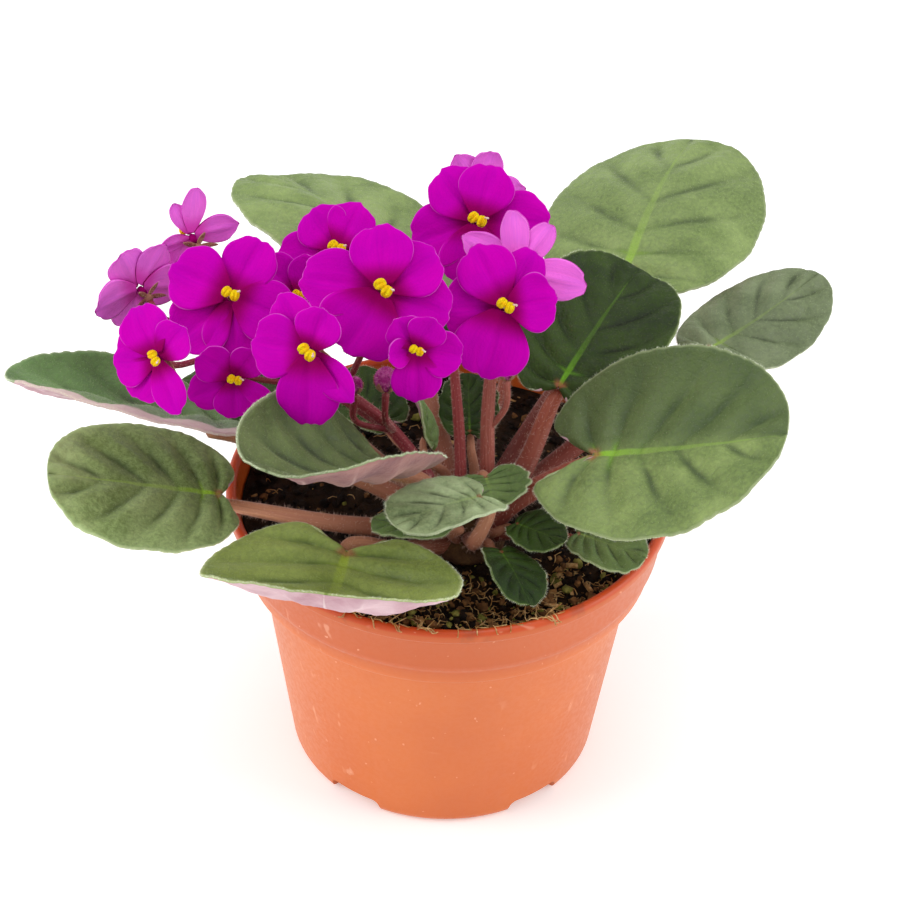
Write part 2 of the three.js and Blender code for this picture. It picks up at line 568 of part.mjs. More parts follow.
// A calyx: a star of narrow sepals on the end of the pedicel, behind the corolla tube.
function calyx(bloom) {
  const place = bloomFrame(bloom);
  const depth = calyxDepth(bloom);
  const corners = sepals.count * 2;
  const front = [new THREE.Vector3(0, 0, sepals.curl / 2 - depth)];
  for (let i = 0; i < corners; i += 1) {
    const turn = (i / corners) * 2 * Math.PI;
    const tip = i % 2 === 1;
    const reach = (tip ? sepals.length : sepals.notch) * bloom.size;
    const height = (tip ? -sepals.curl : sepals.curl) / 2 - depth;
    front.push(new THREE.Vector3(reach * Math.cos(turn), reach * Math.sin(turn), height));
  }
  const back = front.map((point) => point.clone().setZ(point.z - sepals.thickness));
  const under = front.length;
  const faces = [];
  for (let i = 1; i <= corners; i += 1) {
    const next = (i % corners) + 1;
    faces.push([0, i, next], [under, under + next, under + i]);
    faces.push([i, under + i, under + next], [i, under + next, next]);
  }
  return facetedSolid([...front, ...back].map((point) => point.applyMatrix4(place)), faces);
}

function makeSpray(spray) {
  const foot = [[...spray.foot, crown.top - socket.depth], [...spray.foot, crown.top + 3]];
  const radii = [1, 1, 0.9, 0.75].map((share) => share * spray.radius);
  const solids = spray.forks.map((fork, i) => (i === 0
    ? stemSolid([...foot, spray.via, fork], radii, 6, 7)
    : stemSolid([spray.via, fork], radii.slice(2), 6, 4)));
  const addPedicel = (points) => solids.push(stemSolid(points, pedicel.radii, pedicel.sides, pedicel.steps));
  blooms.filter((bloom) => bloom.spray[0] === spray.name).forEach((bloom) => {
    const place = bloomFrame(bloom);
    const behind = (distance, sag) => new THREE.Vector3(0, 0, -distance)
      .applyMatrix4(place)
      .add(new THREE.Vector3(0, 0, -sag))
      .toArray();
    const end = behind(calyxDepth(bloom) - pedicel.overlap, 0);
    addPedicel([spray.forks[bloom.spray[1]], behind(pedicel.bend, pedicel.sag), end]);
    solids.push(calyx(bloom));
  });
  buds.filter((closed) => closed.spray === spray.name).forEach((closed) => {
    const [x, y, z] = closed.at;
    const neck = z - closed.radius * bud.stretch - clearance;
    addPedicel([spray.via, [x, y, neck - pedicel.bend], [x, y, neck]]);
  });
  addNode(spray.name, join(solids), colours.flowerStalk);
}

// ---------------------------------------------------------------- blooms

function petalSolid(bloom, [bearing, length, width, layer, foldBack]) {
  const place = bloomFrame(bloom);
  const turn = radians(90 + bearing);
  const fold = radians(foldBack) / length;
  const at = (u, v) => {
    const out = Math.hypot(u, v);
    const rise = petal.rise * Math.sin((Math.min(1, out / petal.riseOver) * Math.PI) / 2);
    const height = rise - (1 - Math.cos(fold * out)) / fold + layer * petal.layer;
    const drawnIn = Math.sin(fold * out) / (fold * out);
    return new THREE.Vector3(
      (u * Math.cos(turn) - v * Math.sin(turn)) * drawnIn,
      (u * Math.sin(turn) + v * Math.cos(turn)) * drawnIn,
      height).multiplyScalar(bloom.size);
  };
  const rows = [];
  const normals = [];
  petal.rows.forEach((share) => {
    const u = share * length;
    const spread = Math.sin((Math.min(1, share / petal.shoulder) * Math.PI) / 2);
    const past = Math.max(0, (share - petal.shoulder) / (1 - petal.shoulder));
    const half = (width / 2) * THREE.MathUtils.lerp(petal.root, 1, spread) * Math.sqrt(1 - past ** 2);
    const columns = share === 1 ? [0] : [-1, 0, 1];
    rows.push(columns.map((w) => at(u - Math.abs(w) * share * petal.corner, w * half).applyMatrix4(place)));
    normals.push(columns.map((w) => {
      const v = w * half;
      const lengthways = at(u + 0.5, v).sub(at(u - 0.5, v));
      const sideways = at(u, v + 0.5).sub(at(u, v - 0.5));
      return lengthways.cross(sideways).normalize().transformDirection(place);
    }));
  });
  return bladeSolid(rows, normals, petal.thickness);
}

function makeBloom(bloom) {
  const place = bloomFrame(bloom);
  const tube = new THREE.CylinderGeometry(
    throat.frontRadius, throat.backRadius, throat.back + throat.front, bloom.petals.length);
  tube.rotateX(Math.PI / 2);
  tube.rotateZ(Math.PI / bloom.petals.length);
  tube.translate(0, 0, (throat.front - throat.back) / 2);
  tube.scale(bloom.size, bloom.size, bloom.size);
  tube.applyMatrix4(place);
  const corolla = bloom.petals.map((shape) => petalSolid(bloom, shape));
  addNode(bloom.name, join([toSolid(tube), ...corolla]), colours.petal);
}

// Two anthers that touch at their tips, on one short filament.
function makeAnthers(bloom) {
  const place = bloomFrame(bloom);
  const lobes = [-1, 1].map((side) => {
    const lobe = new THREE.OctahedronGeometry(anther.radius, 0);
    lobe.scale(0.95, 1.25, 0.8);
    lobe.translate(side * anther.apart, 0, throat.front + anther.ahead);
    return lobe;
  });
  const { filamentRadius, filamentLength } = anther;
  const filament = new THREE.CylinderGeometry(filamentRadius * 0.9, filamentRadius, filamentLength, 4);
  filament.rotateX(Math.PI / 2);
  filament.translate(0, 0, throat.front + filamentLength / 2 + clearance / bloom.size);
  const solids = [...lobes, filament].map((shape) => {
    shape.scale(bloom.size, bloom.size, bloom.size);
    return toSolid(shape.applyMatrix4(place));
  });
  addNode(`${bloom.name}_anthers`, join(solids), colours.anther);
}

function makeBud(closed) {
  const shape = new THREE.SphereGeometry(closed.radius, bud.columns, bud.rows);
  shape.rotateX(Math.PI / 2);
  shape.scale(1, 1, bud.stretch);
  shape.translate(...closed.at);
  addNode(closed.name, toSolid(shape), colours.bud);
}

makePot();
makeSoil();
makeStems();
leaves.forEach(makeLeaf);
sprays.forEach(makeSpray);
blooms.forEach(makeBloom);
blooms.forEach(makeAnthers);
buds.forEach(makeBud);

export default plant;
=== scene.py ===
import math
import random

import bpy
import numpy as np
from mathutils import Matrix, Vector, noise


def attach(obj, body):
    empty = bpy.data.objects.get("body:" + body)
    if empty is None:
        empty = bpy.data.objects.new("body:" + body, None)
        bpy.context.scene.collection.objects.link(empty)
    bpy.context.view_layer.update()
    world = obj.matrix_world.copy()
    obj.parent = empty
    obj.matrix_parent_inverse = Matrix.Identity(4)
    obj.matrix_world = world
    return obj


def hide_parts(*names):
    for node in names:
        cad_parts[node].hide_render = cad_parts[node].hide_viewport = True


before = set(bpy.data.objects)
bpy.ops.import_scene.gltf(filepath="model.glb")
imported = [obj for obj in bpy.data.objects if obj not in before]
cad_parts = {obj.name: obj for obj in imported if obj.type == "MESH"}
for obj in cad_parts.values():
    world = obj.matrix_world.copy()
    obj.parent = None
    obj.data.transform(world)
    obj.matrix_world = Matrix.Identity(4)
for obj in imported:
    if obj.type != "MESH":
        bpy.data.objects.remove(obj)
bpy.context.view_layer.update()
mm = 0.001  # the model is in metres, the sizes below are in millimetres


def say(stage):
    print("violet:", stage)


def letGo():
    if bpy.context.object and bpy.context.object.mode != "OBJECT":
        bpy.ops.object.mode_set(mode="OBJECT")
    bpy.ops.object.select_all(action="DESELECT")


def pick(piece, *others):
    letGo()
    for each in (piece, *others):
        each.select_set(True)
    bpy.context.view_layer.objects.active = piece


def openMesh(piece):  # into edit mode, with all of it selected
    pick(piece)
    bpy.ops.object.mode_set(mode="EDIT")
    bpy.ops.mesh.select_all(action="SELECT")


def closeMesh():
    bpy.ops.object.mode_set(mode="OBJECT")


def applyPlace(piece):  # the object goes to the origin, its place into its mesh
    pick(piece)
    bpy.ops.object.transform_apply(location=True, rotation=True, scale=True)
    return piece


def applyModifier(piece, kind, **settings):
    pick(piece)
    modifier = piece.modifiers.new(kind.title(), kind)
    for setting, value in settings.items():
        setattr(modifier, setting, value)
    bpy.ops.object.modifier_apply(modifier=modifier.name)
    return piece


def mergeDoubles(piece, distance=0.002 * mm):
    openMesh(piece)
    bpy.ops.mesh.remove_doubles(threshold=distance)
    closeMesh()


def cutAcross(piece, heights):  # flat cuts, square to z
    openMesh(piece)
    for z in heights:
        bpy.ops.mesh.select_all(action="SELECT")
        bpy.ops.mesh.bisect(plane_co=(0, 0, z), plane_no=(0, 0, 1))
    closeMesh()


def openTop(piece):  # into edit mode, with the faces that look up selected
    for face in piece.data.polygons:
        face.select = face.normal.z > 0.9
    bpy.ops.object.mode_set(mode="EDIT")


def dress(piece, *skins):
    piece.data.materials.clear()
    for skin in skins:
        piece.data.materials.append(skin)


def joined(pieces):
    if len(pieces) > 1:
        pick(*pieces)
        bpy.ops.object.join()
    return pieces[0]


def finishPiece(piece, name, nodes, smooth=True):
    piece.name = piece.data.name = name
    pick(piece)
    if smooth:
        bpy.ops.object.shade_smooth()
    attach(piece, "root")
    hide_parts(*nodes)


def titleOf(name):
    return name.title().replace("_", "")


def seedOf(name):
    return sum(map(ord, name))


def coordsOf(piece):
    coords = np.empty(len(piece.data.vertices) * 3)
    piece.data.vertices.foreach_get("co", coords)
    return coords.reshape(-1, 3)


def placeCoords(piece, coords, scale=mm):  # takes millimetres, or the mesh's own units at a scale of 1
    piece.data.vertices.foreach_set("co", (coords * scale).ravel())
    piece.data.update()


def newGrid(across, along):
    letGo()
    bpy.ops.mesh.primitive_grid_add(x_subdivisions=across, y_subdivisions=along, size=2)
    grid = bpy.context.object
    flat = coordsOf(grid)
    return grid, flat[:, 0], (flat[:, 1] + 1) / 2  # from -1 to 1 across, from 0 to 1 along


def unit(rows):
    return rows / np.maximum(np.linalg.norm(rows, axis=-1, keepdims=True), 1e-9)


def polarWay(heading, rise):
    a, e = math.radians(heading), math.radians(rise)
    return Vector((math.cos(e) * math.cos(a), math.cos(e) * math.sin(a), math.sin(e)))


def swungOut(out, aside, height, angle):  # drawn outwards along x, then turned to its bearing
    c, s = math.cos(angle), math.sin(angle)
    return np.stack([out * c - aside * s, out * s + aside * c, height], -1)


def copiesOf(model, turns, spots, material):
    # one mesh of many copies of a small model, each at its own 3x3 turn and spot (in mm)
    points = coordsOf(model)
    faces = [tuple(face.vertices) for face in model.data.polygons]
    coords = np.einsum("kij,vj->kvi", turns, points) + spots[:, None, :]
    firsts = np.arange(len(spots)) * len(points)
    corners = (np.concatenate(faces)[None, :] + firsts[:, None]).ravel()
    sizes = np.tile([len(face) for face in faces], len(spots))
    mesh = bpy.data.meshes.new("copies")
    mesh.vertices.add(len(spots) * len(points))
    mesh.vertices.foreach_set("co", (coords * mm).ravel())
    mesh.loops.add(len(corners))
    mesh.loops.foreach_set("vertex_index", corners.astype(np.int32))
    mesh.polygons.add(len(sizes))
    mesh.polygons.foreach_set("loop_start", (np.cumsum(sizes) - sizes).astype(np.int32))
    mesh.update(calc_edges=True)
    piece = bpy.data.objects.new("copies", mesh)
    bpy.context.scene.collection.objects.link(piece)
    dress(piece, material)
    return piece


def newGroup(name, inputs, outputs):
    group = bpy.data.node_groups.new(name, "ShaderNodeTree")
    for socket, value in inputs.items():
        kind = "NodeSocketVector" if isinstance(value, tuple) else "NodeSocketFloat"
        group.interface.new_socket(socket, in_out="INPUT", socket_type=kind).default_value = value
    for socket in outputs:
        group.interface.new_socket(socket, in_out="OUTPUT", socket_type="NodeSocketFloat")
    return group, group.nodes.new("NodeGroupInput").outputs, group.nodes.new("NodeGroupOutput").inputs


def addNode(tree, kind, links=(), **settings):
    node = tree.nodes.new("ShaderNode" + kind)
    for setting, value in settings.items():
        setattr(node, setting, value)
    for socket, value in dict(links).items():
        if isinstance(value, bpy.types.NodeSocket):
            tree.links.new(value, node.inputs[socket])
        else:
            node.inputs[socket].default_value = value
    return node


def mathNode(tree, operation, *values):
    return addNode(tree, "Math", enumerate(values), operation=operation).outputs[0]


def times(tree, *values):
    return mathNode(tree, "MULTIPLY", *values)


def rangeNode(tree, value, low, high, outLow=0.0, outHigh=1.0):
    links = {"Value": value, "From Min": low, "From Max": high, "To Min": outLow, "To Max": outHigh}
    return addNode(tree, "MapRange", links, interpolation_type="SMOOTHSTEP").outputs["Result"]


def mixNode(tree, share, first, second):
    # for colours, the Mix node has its share in socket 0, its inputs in 6 and 7 and its result in 2
    return addNode(tree, "Mix", {0: share, 6: first, 7: second}, data_type="RGBA").outputs[2]


def noiseNode(tree, vector, scale, detail=4.0, rough=0.55):
    links = {"Vector": vector, "Scale": scale, "Detail": detail, "Roughness": rough}
    return addNode(tree, "TexNoise", links).outputs["Fac"]


def streakNode(tree, uv, scale, detail):  # noise drawn out along V
    stretched = addNode(tree, "Mapping", {"Vector": uv, "Scale": scale}).outputs[0]
    return noiseNode(tree, stretched, 1.0, detail, 0.5)


def uvNodes(tree):  # the UV map, then its parts: across in U, along in V
    uv = addNode(tree, "UVMap", uv_map="UVMap").outputs["UV"]
    parts = addNode(tree, "SeparateXYZ", {"Vector": uv}).outputs
    return uv, parts["X"], parts["Y"]


def colour(red, green, blue):
    def linear(channel):  # from screen values, 0 to 255
        c = channel / 255
        return c / 12.92 if c <= 0.04045 else ((c + 0.055) / 1.055) ** 2.4
    return (linear(red), linear(green), linear(blue), 1.0)


def between(first, second):
    return [(a + b) / 2 for a, b in zip(first, second)]


def lighter(tone, by):
    return [min(255, c * by) for c in tone]


def coat(tree, base, *layers):  # each layer is a mask, the share of it that covers, and a tone
    for mask, share, tone in layers:
        base = mixNode(tree, mask if share == 1 else times(tree, mask, share), base, colour(*tone))
    return base


def mottleGroup():
    # slow and fine changes of tone over any surface: two masks from 0 to 1
    group, given, out = newGroup(
        "mottle", {"Vector": (0, 0, 0), "Broad": 40.0, "Fine": 400.0}, ("Broad", "Fine"))
    broad = noiseNode(group, given["Vector"], given["Broad"], 3.0)
    fine = noiseNode(group, given["Vector"], given["Fine"], 4.0, 0.6)
    group.links.new(rangeNode(group, broad, 0.32, 0.68), out["Broad"])
    group.links.new(rangeNode(group, fine, 0.3, 0.7), out["Fine"])
    return group


veinLook = {
    "wobble": 0.02, "forward": 1.3, "sharpness": 1.9, "ribWidth": 0.07, "ribTaper": -0.045,
    "glowWidth": 0.34, "glowFade": (0.12, 0.62), "netScale": 26.0, "netWidth": 0.12, "margin": 0.975,
}


def veinGroup():
    # side veins, midrib, net and margin of a leaf, from its UV map
    look = veinLook
    group, given, out = newGroup("veins", {"Veins": 6.0, "Sweep": 0.1, "Narrow": 0.8},
                                 ("Side", "Rib", "Glow", "Net", "Margin", "Joint"))
    uv, acrossUv, along = uvNodes(group)
    across = mathNode(group, "ABSOLUTE", mathNode(group, "MULTIPLY_ADD", acrossUv, 2.0, -1.0))
    swept = times(group, mathNode(group, "POWER", across, look["forward"]), given["Sweep"])
    wobbly = mathNode(group, "MULTIPLY_ADD", noiseNode(group, uv, 7.0, 2.0), look["wobble"], along)
    bent = mathNode(group, "SUBTRACT", wobbly, swept)
    wave = mathNode(group, "SINE", times(group, bent, times(group, given["Veins"], math.pi)))
    line = rangeNode(group, mathNode(group, "ABSOLUTE", wave), 0.0, given["Narrow"], 1.0, 0.0)
    fade = rangeNode(group, across, 0.4, 1.0, 1.0, 0.1)
    uneven = rangeNode(group, noiseNode(group, uv, 4.5, 2.0), 0.36, 0.62, 0.35, 1.0)
    side = times(group, mathNode(group, "POWER", line, look["sharpness"]), times(group, fade, uneven))
    ribWidth = mathNode(group, "MULTIPLY_ADD", along, look["ribTaper"], look["ribWidth"])
    rib = rangeNode(group, mathNode(group, "DIVIDE", across, ribWidth), 0.5, 1.1, 1.0, 0.0)
    nearRib = rangeNode(group, across, 0.0, look["glowWidth"], 1.0, 0.0)
    nearStalk = rangeNode(group, along, *look["glowFade"], 1.0, 0.0)
    spread = times(group, side, times(group, nearRib, 0.8))
    links = {"Vector": uv, "Scale": look["netScale"]}
    cells = addNode(group, "TexVoronoi", links, feature="DISTANCE_TO_EDGE")
    atStalk = rangeNode(group, along, 0.15, 0.24, 1.0, 0.0)
    joint = times(group, atStalk, rangeNode(group, across, 0.08, 0.2, 1.0, 0.0))
    made = {
        "Side": side, "Rib": rib, "Glow": times(group, mathNode(group, "MAXIMUM", rib, spread), nearStalk),
        "Net": rangeNode(group, cells.outputs["Distance"], 0.0, look["netWidth"], 1.0, 0.0),
        "Margin": rangeNode(group, across, look["margin"], 1.0), "Joint": joint,
    }
    for name, value in made.items():
        group.links.new(value, out[name])
    return group


mottle = mottleGroup()
veins = veinGroup()


def newMaterial(name, **principled):
    material = bpy.data.materials.new(name)
    material.use_nodes = True
    tree = material.node_tree
    shader = tree.nodes["Principled BSDF"]
    for socket, value in principled.items():
        shader.inputs[socket.replace("_", " ")].default_value = value
    return material, tree, shader


def useGroup(tree, group, **links):
    return addNode(tree, "Group", links, node_tree=group).outputs


def objectCoords(tree):
    return addNode(tree, "TexCoord").outputs["Object"]


def plugSkin(tree, shader, base, rough, height, strength, depth):  # the depth of the bumps is in mm
    bump = addNode(tree, "Bump", {"Height": height, "Strength": strength, "Distance": depth * mm})
    for socket, value in (("Base Color", base), ("Roughness", rough), ("Normal", bump.outputs[0])):
        tree.links.new(value, shader.inputs[socket])


def leafMaterial(name, dark, light, veinTone, glowTone, marginTone, shaded=0.0, rolled=0.0):
    # shaded darkens the left half, rolled is the share of the left margin that has its pale side up
    gloss = min(1.0, (sum(light) - 100) / 200)  # dark leaves shine less
    material, tree, shader = newMaterial(
        name, Sheen_Weight=0.14 * gloss, Sheen_Roughness=0.4, Specular_IOR_Level=0.18 + 0.27 * gloss,
        Sheen_Tint=colour(205, 220, 176))
    coords = objectCoords(tree)
    left = uvNodes(tree)[1]
    tone = useGroup(tree, mottle, Vector=coords, Broad=55.0, Fine=900.0)
    vein = useGroup(tree, veins, Sweep=leafShape["sweep"])
    patch = rangeNode(tree, noiseNode(tree, coords, 26.0, 1.0), 0.42, 0.66, 0.0, 0.45)
    body = mixNode(tree, tone["Broad"], colour(*dark), colour(*light))
    body = coat(tree, body, (patch, 1, between(dark, veinTone)), (tone["Fine"], 0.19, lighter(light, 1.35)))
    if shaded:
        body = coat(tree, body, (rangeNode(tree, left, 0.42, 0.62, 0.0, shaded), 1, veinTone))
    # the side veins take the vein tone: partly the veins' own darker green, partly painted shade in the
    # valleys between the quilted pillows
    body = coat(tree, body, (vein["Side"], 0.82, veinTone), (vein["Net"], 0.08, veinTone),
                (vein["Rib"], 0.4, between(light, glowTone)), (vein["Glow"], 1, glowTone),
                (vein["Margin"], 0.45, marginTone), (vein["Joint"], 0.75, leafShape["jointTone"]))
    if rolled:
        turned = rangeNode(tree, left, 1 - rolled * 0.5, 1 - rolled * 0.35, 0.0, 0.85)
        body = coat(tree, body, (turned, 1, leafShape["rolledTone"]))
    dips = mathNode(tree, "ADD", vein["Side"], times(tree, vein["Net"], 0.15))
    height = mathNode(tree, "SUBTRACT", times(tree, tone["Fine"], 0.35), dips)
    plugSkin(tree, shader, body, rangeNode(tree, tone["Fine"], 0, 1, 0.46, 0.7), height, 0.55, 0.5)
    return material


def underMaterial(name, pale, deep, veinTone):
    material, tree, shader = newMaterial(name, Sheen_Weight=0.12, Sheen_Roughness=0.5, Specular_IOR_Level=0.2)
    tone = useGroup(tree, mottle, Vector=objectCoords(tree), Broad=70.0, Fine=1100.0)
    vein = useGroup(tree, veins, Narrow=0.25)
    lines = mathNode(tree, "MAXIMUM", vein["Side"], vein["Rib"])
    body = mixNode(tree, tone["Broad"], colour(*pale), colour(*deep))
    body = coat(tree, body, (lines, 0.6, veinTone))
    height = mathNode(tree, "ADD", times(tree, tone["Fine"], 0.4), lines)
    plugSkin(tree, shader, body, rangeNode(tree, tone["Fine"], 0, 1, 0.6, 0.8), height, 0.5, 0.5)
    return material


def stemMaterial(name, top, low, streak):
    # streaks run along the stem
    material, tree, shader = newMaterial(
        name, Sheen_Weight=0.13, Sheen_Roughness=0.35, Specular_IOR_Level=0.32)
    uv, _, along = uvNodes(tree)
    lines = streakNode(tree, uv, (26.0, 2.5, 1.0), 3.0)
    tone = useGroup(tree, mottle, Vector=objectCoords(tree), Broad=60.0, Fine=900.0)
    body = mixNode(tree, rangeNode(tree, along, 0.05, 0.9), colour(*low), colour(*top))
    streaks = rangeNode(tree, lines, 0.35, 0.7, 0.0, 0.75)
    body = coat(tree, body, (streaks, 1, streak), (tone["Broad"], 0.25, low))
    plugSkin(tree, shader, body, rangeNode(tree, tone["Fine"], 0, 1, 0.42, 0.66), lines, 0.4, 0.3)
    return material


def hairMaterial(name, tone):
    material, tree, shader = newMaterial(name, Roughness=0.45, Specular_IOR_Level=0.4)
    mask = noiseNode(tree, objectCoords(tree), 180.0, 2.0)
    body = mixNode(tree, mask, colour(*tone), colour(*lighter(tone, 1.12)))
    tree.links.new(body, shader.inputs["Base Color"])
    return material


def petalMaterial(name, body, throatTone, rimTone):
    material, tree, shader = newMaterial(
        name, Sheen_Weight=0.12, Sheen_Roughness=0.35, Specular_IOR_Level=0.02,
        Sheen_Tint=colour(250, 0, 236))
    uv, _, along = uvNodes(tree)
    tone = useGroup(tree, mottle, Vector=objectCoords(tree), Broad=90.0, Fine=1600.0)
    streaks = streakNode(tree, uv, (22.0, 2.0, 1.0), 2.0)
    deep = (body[0] * 0.82, body[1] * 0.82, body[2] * 0.95)
    edge = addNode(tree, "Attribute", attribute_name="edge").outputs["Fac"]
    rim = times(tree, rangeNode(tree, edge, 0.975, 1.0), rangeNode(tree, along, 0.3, 0.5, 0.0, 0.42))
    base = mixNode(tree, rangeNode(tree, streaks, 0.4, 0.75, 0.0, 0.3), colour(*body), colour(*deep))
    base = coat(tree, base, (tone["Broad"], 0.3, deep),
                (rangeNode(tree, along, 0.08, 0.42, 0.9, 0.0), 1, throatTone), (rim, 1, rimTone))
    height = mathNode(tree, "MULTIPLY_ADD", streaks, 0.6, times(tree, tone["Fine"], 0.25))
    plugSkin(tree, shader, base, rangeNode(tree, tone["Fine"], 0, 1, 0.5, 0.72), height, 0.35, 0.35)
    return material


def grainMaterial(name, first, second, low=0.7, high=0.95, broad=160.0, fine=1400.0):
    material, tree, shader = newMaterial(name, Specular_IOR_Level=0.14)
    tone = useGroup(tree, mottle, Vector=objectCoords(tree), Broad=broad, Fine=fine)
    share = times(tree, tone["Broad"], rangeNode(tree, tone["Fine"], 0, 1, 0.6, 1.0))
    body = mixNode(tree, share, colour(*first), colour(*second))
    height = mathNode(tree, "ADD", tone["Fine"], tone["Broad"])
    plugSkin(tree, shader, body, rangeNode(tree, tone["Fine"], 0, 1, low, high), height, 0.7, 0.5)
    return material


potShape = {
    "height": 86, "lipRadius": 60, "lipDepth": 4, "wall": 1.5, "floor": 6, "floorRound": 2,
    "footRadius": 41.5, "footBevel": 1.5, "edge": 0.8, "step": 1.2, "soften": 0.45, "flatBelow": 28,
    "bodyTop": (51, 63), "bandFoot": (55.2, 64.5), "bandRidge": (57, 70.5), "insideStep": (62, 65),
    "drains": 5, "firstDrain": 236, "channelWidth": 16, "channelHeight": 4.4, "channelRun": (14, 46),
    "channelRound": 2.2, "holeRadius": 3.5, "holeAt": 28, "sides": 128,
    "plastic": (211, 108, 37), "deep": (190, 82, 18), "lip": (196, 72, 14), "scuff": (248, 196, 164),
    "dirt": (110, 60, 35), "dirtFrom": 80,
}


def potInside(z):
    p = potShape
    foot, lip = p["footRadius"] + p["edge"], p["lipRadius"] - p["step"]
    low = foot + (p["bodyTop"][0] - foot) * z / p["bodyTop"][1]
    share = (z - p["bandFoot"][1]) / (p["height"] - p["bandFoot"][1])
    high = p["bandFoot"][0] + (lip - p["bandFoot"][0]) * share
    return (low if z < p["bandFoot"][1] else high) - p["wall"]


def potMaterial():
    p = potShape
    material, tree, shader = newMaterial(
        "potPlastic", Specular_IOR_Level=0.45, Coat_Weight=0.06, Coat_Roughness=0.25)
    coords = objectCoords(tree)
    tone = useGroup(tree, mottle, Vector=coords, Broad=22.0, Fine=700.0)
    height = addNode(tree, "SeparateXYZ", {"Vector": coords}).outputs["Z"]
    # painted shade: the band is darkened from its foot up to the ridge and stays darker above it
    bandShade = rangeNode(tree, height, p["bandFoot"][1] * mm, p["bandRidge"][1] * mm, 0.0, 0.75)
    lip = rangeNode(tree, height, (p["height"] - 1.6) * mm, (p["height"] - 0.8) * mm)
    drawnOut = {"Vector": coords, "Rotation": (0.5, 0.9, 0.3), "Scale": (60.0, 420.0, 120.0)}
    turned = addNode(tree, "Mapping", drawnOut)
    scratch = noiseNode(tree, turned.outputs[0], 1.0, 2.0, 0.4)
    patches = rangeNode(tree, noiseNode(tree, coords, 45.0, 2.0), 0.5, 0.62)
    scratches = times(tree, times(tree, rangeNode(tree, scratch, 0.66, 0.74), patches), 0.32)
    specks = times(tree, rangeNode(tree, noiseNode(tree, coords, 520.0, 1.0), 0.74, 0.8), 0.4)
    marks = mathNode(tree, "MAXIMUM", scratches, specks)
    soiled = times(tree, rangeNode(tree, height, p["dirtFrom"] * mm, p["height"] * mm),
                   rangeNode(tree, noiseNode(tree, coords, 130.0, 4.0), 0.56, 0.7))
    base = coat(tree, colour(*p["plastic"]), (tone["Broad"], 0.35, p["deep"]), (bandShade, 1, p["deep"]),
                (lip, 1, p["lip"]), (marks, 1, p["scuff"]), (soiled, 0.35, p["dirt"]))
    rough = mathNode(tree, "MULTIPLY_ADD", marks, 0.25, rangeNode(tree, tone["Fine"], 0, 1, 0.36, 0.46))
    grain = mathNode(tree, "MULTIPLY_ADD", tone["Fine"], 0.3, times(tree, scratch, 0.3))
    plugSkin(tree, shader, base, rough, grain, 0.15, 0.2)
    return material


def spinSection(section, sides):
    # a ring of points is the closed section; it is spun about z, without its edge down the axis
    letGo()
    bpy.ops.mesh.primitive_circle_add(vertices=len(section), radius=1, fill_type="NOTHING")
    pot = bpy.context.object
    placeCoords(pot, np.array([(radius, 0, z) for radius, z in section]))
    pick(pot)
    bpy.ops.object.mode_set(mode="EDIT")
    bpy.ops.mesh.select_all(action="DESELECT")
    closeMesh()
    for edge in pot.data.edges:
        edge.select = {pot.data.vertices[i].co.x for i in edge.vertices} == {0.0}
    bpy.ops.object.mode_set(mode="EDIT")
    bpy.ops.mesh.delete(type="EDGE_FACE")
    bpy.ops.mesh.select_all(action="SELECT")
    bpy.ops.mesh.bevel(offset=potShape["soften"] * mm, segments=2, affect="VERTICES")
    bpy.ops.mesh.select_all(action="SELECT")
    bpy.ops.mesh.spin(steps=sides, angle=2 * math.pi, center=(0, 0, 0), axis=(0, 0, 1))
    bpy.ops.mesh.select_all(action="SELECT")
    bpy.ops.mesh.remove_doubles(threshold=0.02 * mm)
    bpy.ops.mesh.normals_make_consistent(inside=False)
    closeMesh()
    return pot


def drainCutters():
    p = potShape
    near, far = p["channelRun"]
    size = ((far - near) * mm, p["channelWidth"] * mm, p["channelHeight"] * 2 * mm)
    cutters = []
    for i in range(p["drains"]):
        turn = math.radians(p["firstDrain"] + i * 360 / p["drains"])
        middle = (math.cos(turn) * (near + far) / 2 * mm, math.sin(turn) * (near + far) / 2 * mm, 0)
        hole = (math.cos(turn) * p["holeAt"] * mm, math.sin(turn) * p["holeAt"] * mm, 0)
        letGo()
        bpy.ops.mesh.primitive_cube_add(size=1, location=middle, rotation=(0, 0, turn), scale=size)
        groove = applyPlace(bpy.context.object)
        applyModifier(groove, "BEVEL", width=p["channelRound"] * mm, segments=4)
        bpy.ops.mesh.primitive_cylinder_add(
            vertices=32, radius=p["holeRadius"] * mm, depth=p["floor"] * 4 * mm, location=hole)
        cutters += [groove, applyPlace(bpy.context.object)]
    return cutters


def makePot():
    p = potShape
    h, r, e, s = p["height"], p["lipRadius"], p["edge"], p["step"]
    (bodyR, bodyZ), (bandR, bandZ), (ridgeR, ridgeZ) = p["bodyTop"], p["bandFoot"], p["bandRidge"]
    section = [
        (0, 0), (p["footRadius"] - p["footBevel"], 0), (p["footRadius"], e), (p["footRadius"] + e, e * 3),
        (bodyR, bodyZ), (bandR, bandZ), (bandR + e / 2, bandZ + s),
        (ridgeR - e, ridgeZ - s), (ridgeR, ridgeZ),
        (ridgeR + e / 2, ridgeZ + s), (r - s, h - p["lipDepth"]), (r, h - p["lipDepth"] + e), (r, h - e),
        (r - e, h), (potInside(h) + e, h), (potInside(h - e), h - e)]
    lowStep, highStep = p["insideStep"]
    section += [(potInside(z), z) for z in (highStep, lowStep, p["floor"] + p["floorRound"])]
    section += [(potInside(p["floor"]) - p["floorRound"], p["floor"]), (0, p["floor"])]
    pot = spinSection(section, p["sides"])
    for cutter in drainCutters():
        applyModifier(pot, "BOOLEAN", operation="DIFFERENCE", solver="EXACT", object=cutter)
        bpy.data.objects.remove(cutter)
    dress(pot, potMaterial())
    finishPiece(pot, "flowerPot", ["pot"], smooth=False)
    bpy.ops.object.shade_smooth_by_angle(angle=math.radians(p["flatBelow"]))


makePot()
say("pot")

